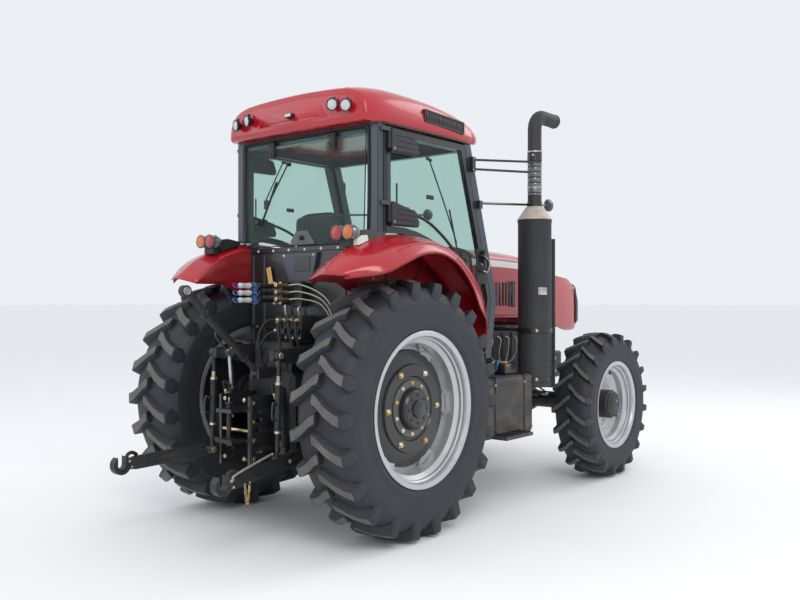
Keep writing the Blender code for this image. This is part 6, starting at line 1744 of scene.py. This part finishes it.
@dataclass
class Driveline(Assembly):
    """Engine side, gearbox, front axle and steering fittings."""
    def add_engine(self, batch: Batch) -> None:
        """Filter, pump, pipes, ribs and bolts on each side of the engine."""
        for side in SIDES.values():
            face = side * 0.2705
            batch.turned([(0.0, 0.0), (0.046, 0.002), (0.050, 0.012), (0.050, 0.130), (0.040, 0.142),
                    (0.0, 0.143)], at(1.700, face + side * 0.055, 0.780), (0, 0, 1),
                Finish.WHITE if side > 0 else Finish.GREY, 36)
            batch.box(at(1.650, face - 0.005, 0.925), at(1.750, face + side * 0.105, 0.960), Finish.IRON,
                0.008)
            for index in range(6):
                x = 1.560 + index * 0.155
                batch.bolt(at(x, face, 1.300), (0, side, 0), 0.014, Finish.ZINC)
                batch.bolt(at(x, face, 0.660), (0, side, 0), 0.012, Finish.ZINC)
                batch.box(at(x + 0.060, face - 0.004, 0.700), at(x + 0.074, face + side * 0.010, 1.260),
                    Finish.IRON)
            for index in range(4):
                x = 1.880 + index * 0.130
                batch.hose([at(x, face, 1.230), at(x + 0.010, face + side * 0.030, 1.200),
                        at(x - 0.020, face + side * 0.032, 1.060), at(2.080, face + side * 0.025, 0.960)],
                    0.006, Finish.PIPE, 8)
            batch.box(at(2.020, face - 0.004, 0.860), at(2.220, face + side * 0.060, 0.985), Finish.IRON,
                0.012)

    def add_front(self, batch: Batch) -> None:
        """Steering cylinder, its hoses, and the bolts of the front frame."""
        for side in SIDES.values():
            for x in (2.560, 2.760, 2.960, 3.160):
                batch.bolt(at(x, side * 0.2005, 0.980), (0, side, 0), 0.016, Finish.ZINC)
                batch.bolt(at(x, side * 0.2005, 0.860), (0, side, 0), 0.016, Finish.ZINC)
            batch.hose([at(2.560, side * 0.180, 0.840), at(2.600, side * 0.260, 0.800),
                    at(2.640, side * 0.350, 0.730), at(2.645, side * 0.420, 0.690)], 0.008, Finish.HOSE)
        batch.rod(at(2.620, -0.330, 0.690), at(2.620, 0.330, 0.690), 0.028, Finish.BLACK, steps=28)
        for side in SIDES.values():
            batch.rod(at(2.620, side * 0.330, 0.690), at(2.620, side * 0.430, 0.690), 0.014, Finish.STEEL,
                steps=20)
            batch.rod(at(2.620, side * 0.326, 0.690), at(2.620, side * 0.340, 0.690), 0.031, Finish.BLACK,
                steps=28)
        for degrees in range(0, 360, 36):
            spot = at(2.7202, 0.130 * math.cos(math.radians(degrees)),
                0.630 + 0.130 * math.sin(math.radians(degrees)))
            batch.bolt(spot + Vector((0.166, 0, 0)), (1, 0, 0), 0.012, Finish.ZINC)

    def build(self) -> None:
        """Builds the fittings and dresses the castings."""
        batch = Batch()
        self.add_engine(batch)
        self.add_front(batch)
        for side in SIDES.values():
            for index in range(8):
                batch.bolt(at(0.200 + index * 0.160, side * 0.2505, 0.740), (0, side, 0), 0.013, Finish.ZINC)
        batch.make("driveline_fittings", "chassis", "cast_iron", smooth=45)
        dress(self.nodes, Finish.IRON, "engine_block", "gearbox", "front_axle_beam", "front_frame",
            "firewall")
        for word in SIDES:
            dress(self.nodes, Finish.IRON, f"knuckle_{word}")


ASSEMBLIES = (Roof, Fenders, Cab, RearWindow, Doors, Hitch, Drawbar, Couplers, RearPlumbing, Exhaust,
    Bonnet, Mirrors, Interior, Tanks, Driveline)


# Set

@dataclass
class Studio:
    """Pale floor, soft lights, and the camera behind and to the right of the tractor."""
    spot: Point = (-5.6345, -4.4340, 1.5338)
    tilt: float = 0.00198
    heading: float = 0.6804
    lens: float = 39.49

    def build(self) -> None:
        """Adds the floor, world, lights and camera."""
        mesh = bpy.data.meshes.new("floor")
        mesh.from_pydata([(x * 400, y * 400, -0.0005) for x, y in ((-1, -1), (1, -1), (1, 1), (-1, 1))], [],
                         [(0, 1, 2, 3)])
        floor = bpy.data.objects.new("floor", mesh)
        bpy.context.scene.collection.objects.link(floor)
        mesh.materials.append(self.floor_material())
        world = bpy.context.scene.world or bpy.data.worlds.new("world")
        bpy.context.scene.world = world
        world.use_nodes = True
        world.node_tree.nodes["Background"].inputs[0].default_value = (0.93, 0.96, 1.0, 1.0)
        world.node_tree.nodes["Background"].inputs[1].default_value = 0.90
        bpy.context.scene.view_settings.view_transform = "Standard"
        self.light("key", (-6.5, -7.5, 8.0), 5.0, 420, (1.0, 0.97, 0.92))
        self.light("fill", (-7.0, 6.0, 5.0), 6.0, 90, (0.90, 0.95, 1.0))
        self.light("rim", (7.0, -3.0, 7.0), 5.0, 160, (1.0, 1.0, 1.0))
        camera = bpy.data.objects.new("camera", bpy.data.cameras.new("camera"))
        bpy.context.scene.collection.objects.link(camera)
        camera.location = self.spot
        camera.rotation_euler = (math.pi / 2 + self.tilt, 0, self.heading - math.pi / 2)
        camera.data.lens, camera.data.sensor_width = self.lens, 36.0
        camera.data.clip_end = 900.0
        bpy.context.scene.camera = camera

    def floor_material(self) -> bpy.types.Material:
        """Pale studio floor with faint scuffs."""
        shade = Shader("studio floor")
        scuff = shade.noise(1.2, 5.0)
        body = shade.add("ShaderNodeBsdfPrincipled", {},
            {"Base Color": shade.mix(scuff, (0.90, 0.90, 0.90), (0.94, 0.94, 0.94)),
                "Roughness": 0.6 + scuff * 0.2})
        return shade.finish(body.outputs[0])

    def light(self, name: str, place: Point, size: float, power: float, colour: Colour) -> None:
        """An area light aimed at the tractor's middle."""
        data = bpy.data.lights.new(name, "AREA")
        data.size, data.energy, data.color = size, power, colour
        lamp = bpy.data.objects.new(name, data)
        bpy.context.scene.collection.objects.link(lamp)
        lamp.location = place
        lamp.rotation_euler = (Vector((0, 0, 1.4)) - Vector(place)).to_track_quat("-Z", "Y").to_euler()


def main() -> None:
    """Builds every assembly in order, then the set."""
    logging.basicConfig(level=logging.INFO, format="%(message)s")
    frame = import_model()
    nodes = frame["nodes"]
    for word, side in SIDES.items():
        for wheel in (RearWheel(f"rear_{word}", side, at(0, side * 0.820, 0.840), 0.840, 0.440, 0.4826,
                0.381, f"rear_wheel_{word}", (f"rear_tyre_{word}", f"rear_rim_{word}")),
            FrontWheel(f"front_{word}", side, at(2.720, side * 0.910, 0.630), 0.630, 0.340, 0.3556, 0.279,
                f"front_wheel_{word}", (f"front_tyre_{word}", f"front_rim_{word}"), lugs=20,
                lug_height=0.032, lug_thick=0.044, slant=0.115)):
            wheel.build_tyre()
            wheel.build_rim()
    for part in ASSEMBLIES:
        part(nodes).build()
    Studio().build()


if __name__ == "__main__":
    main()
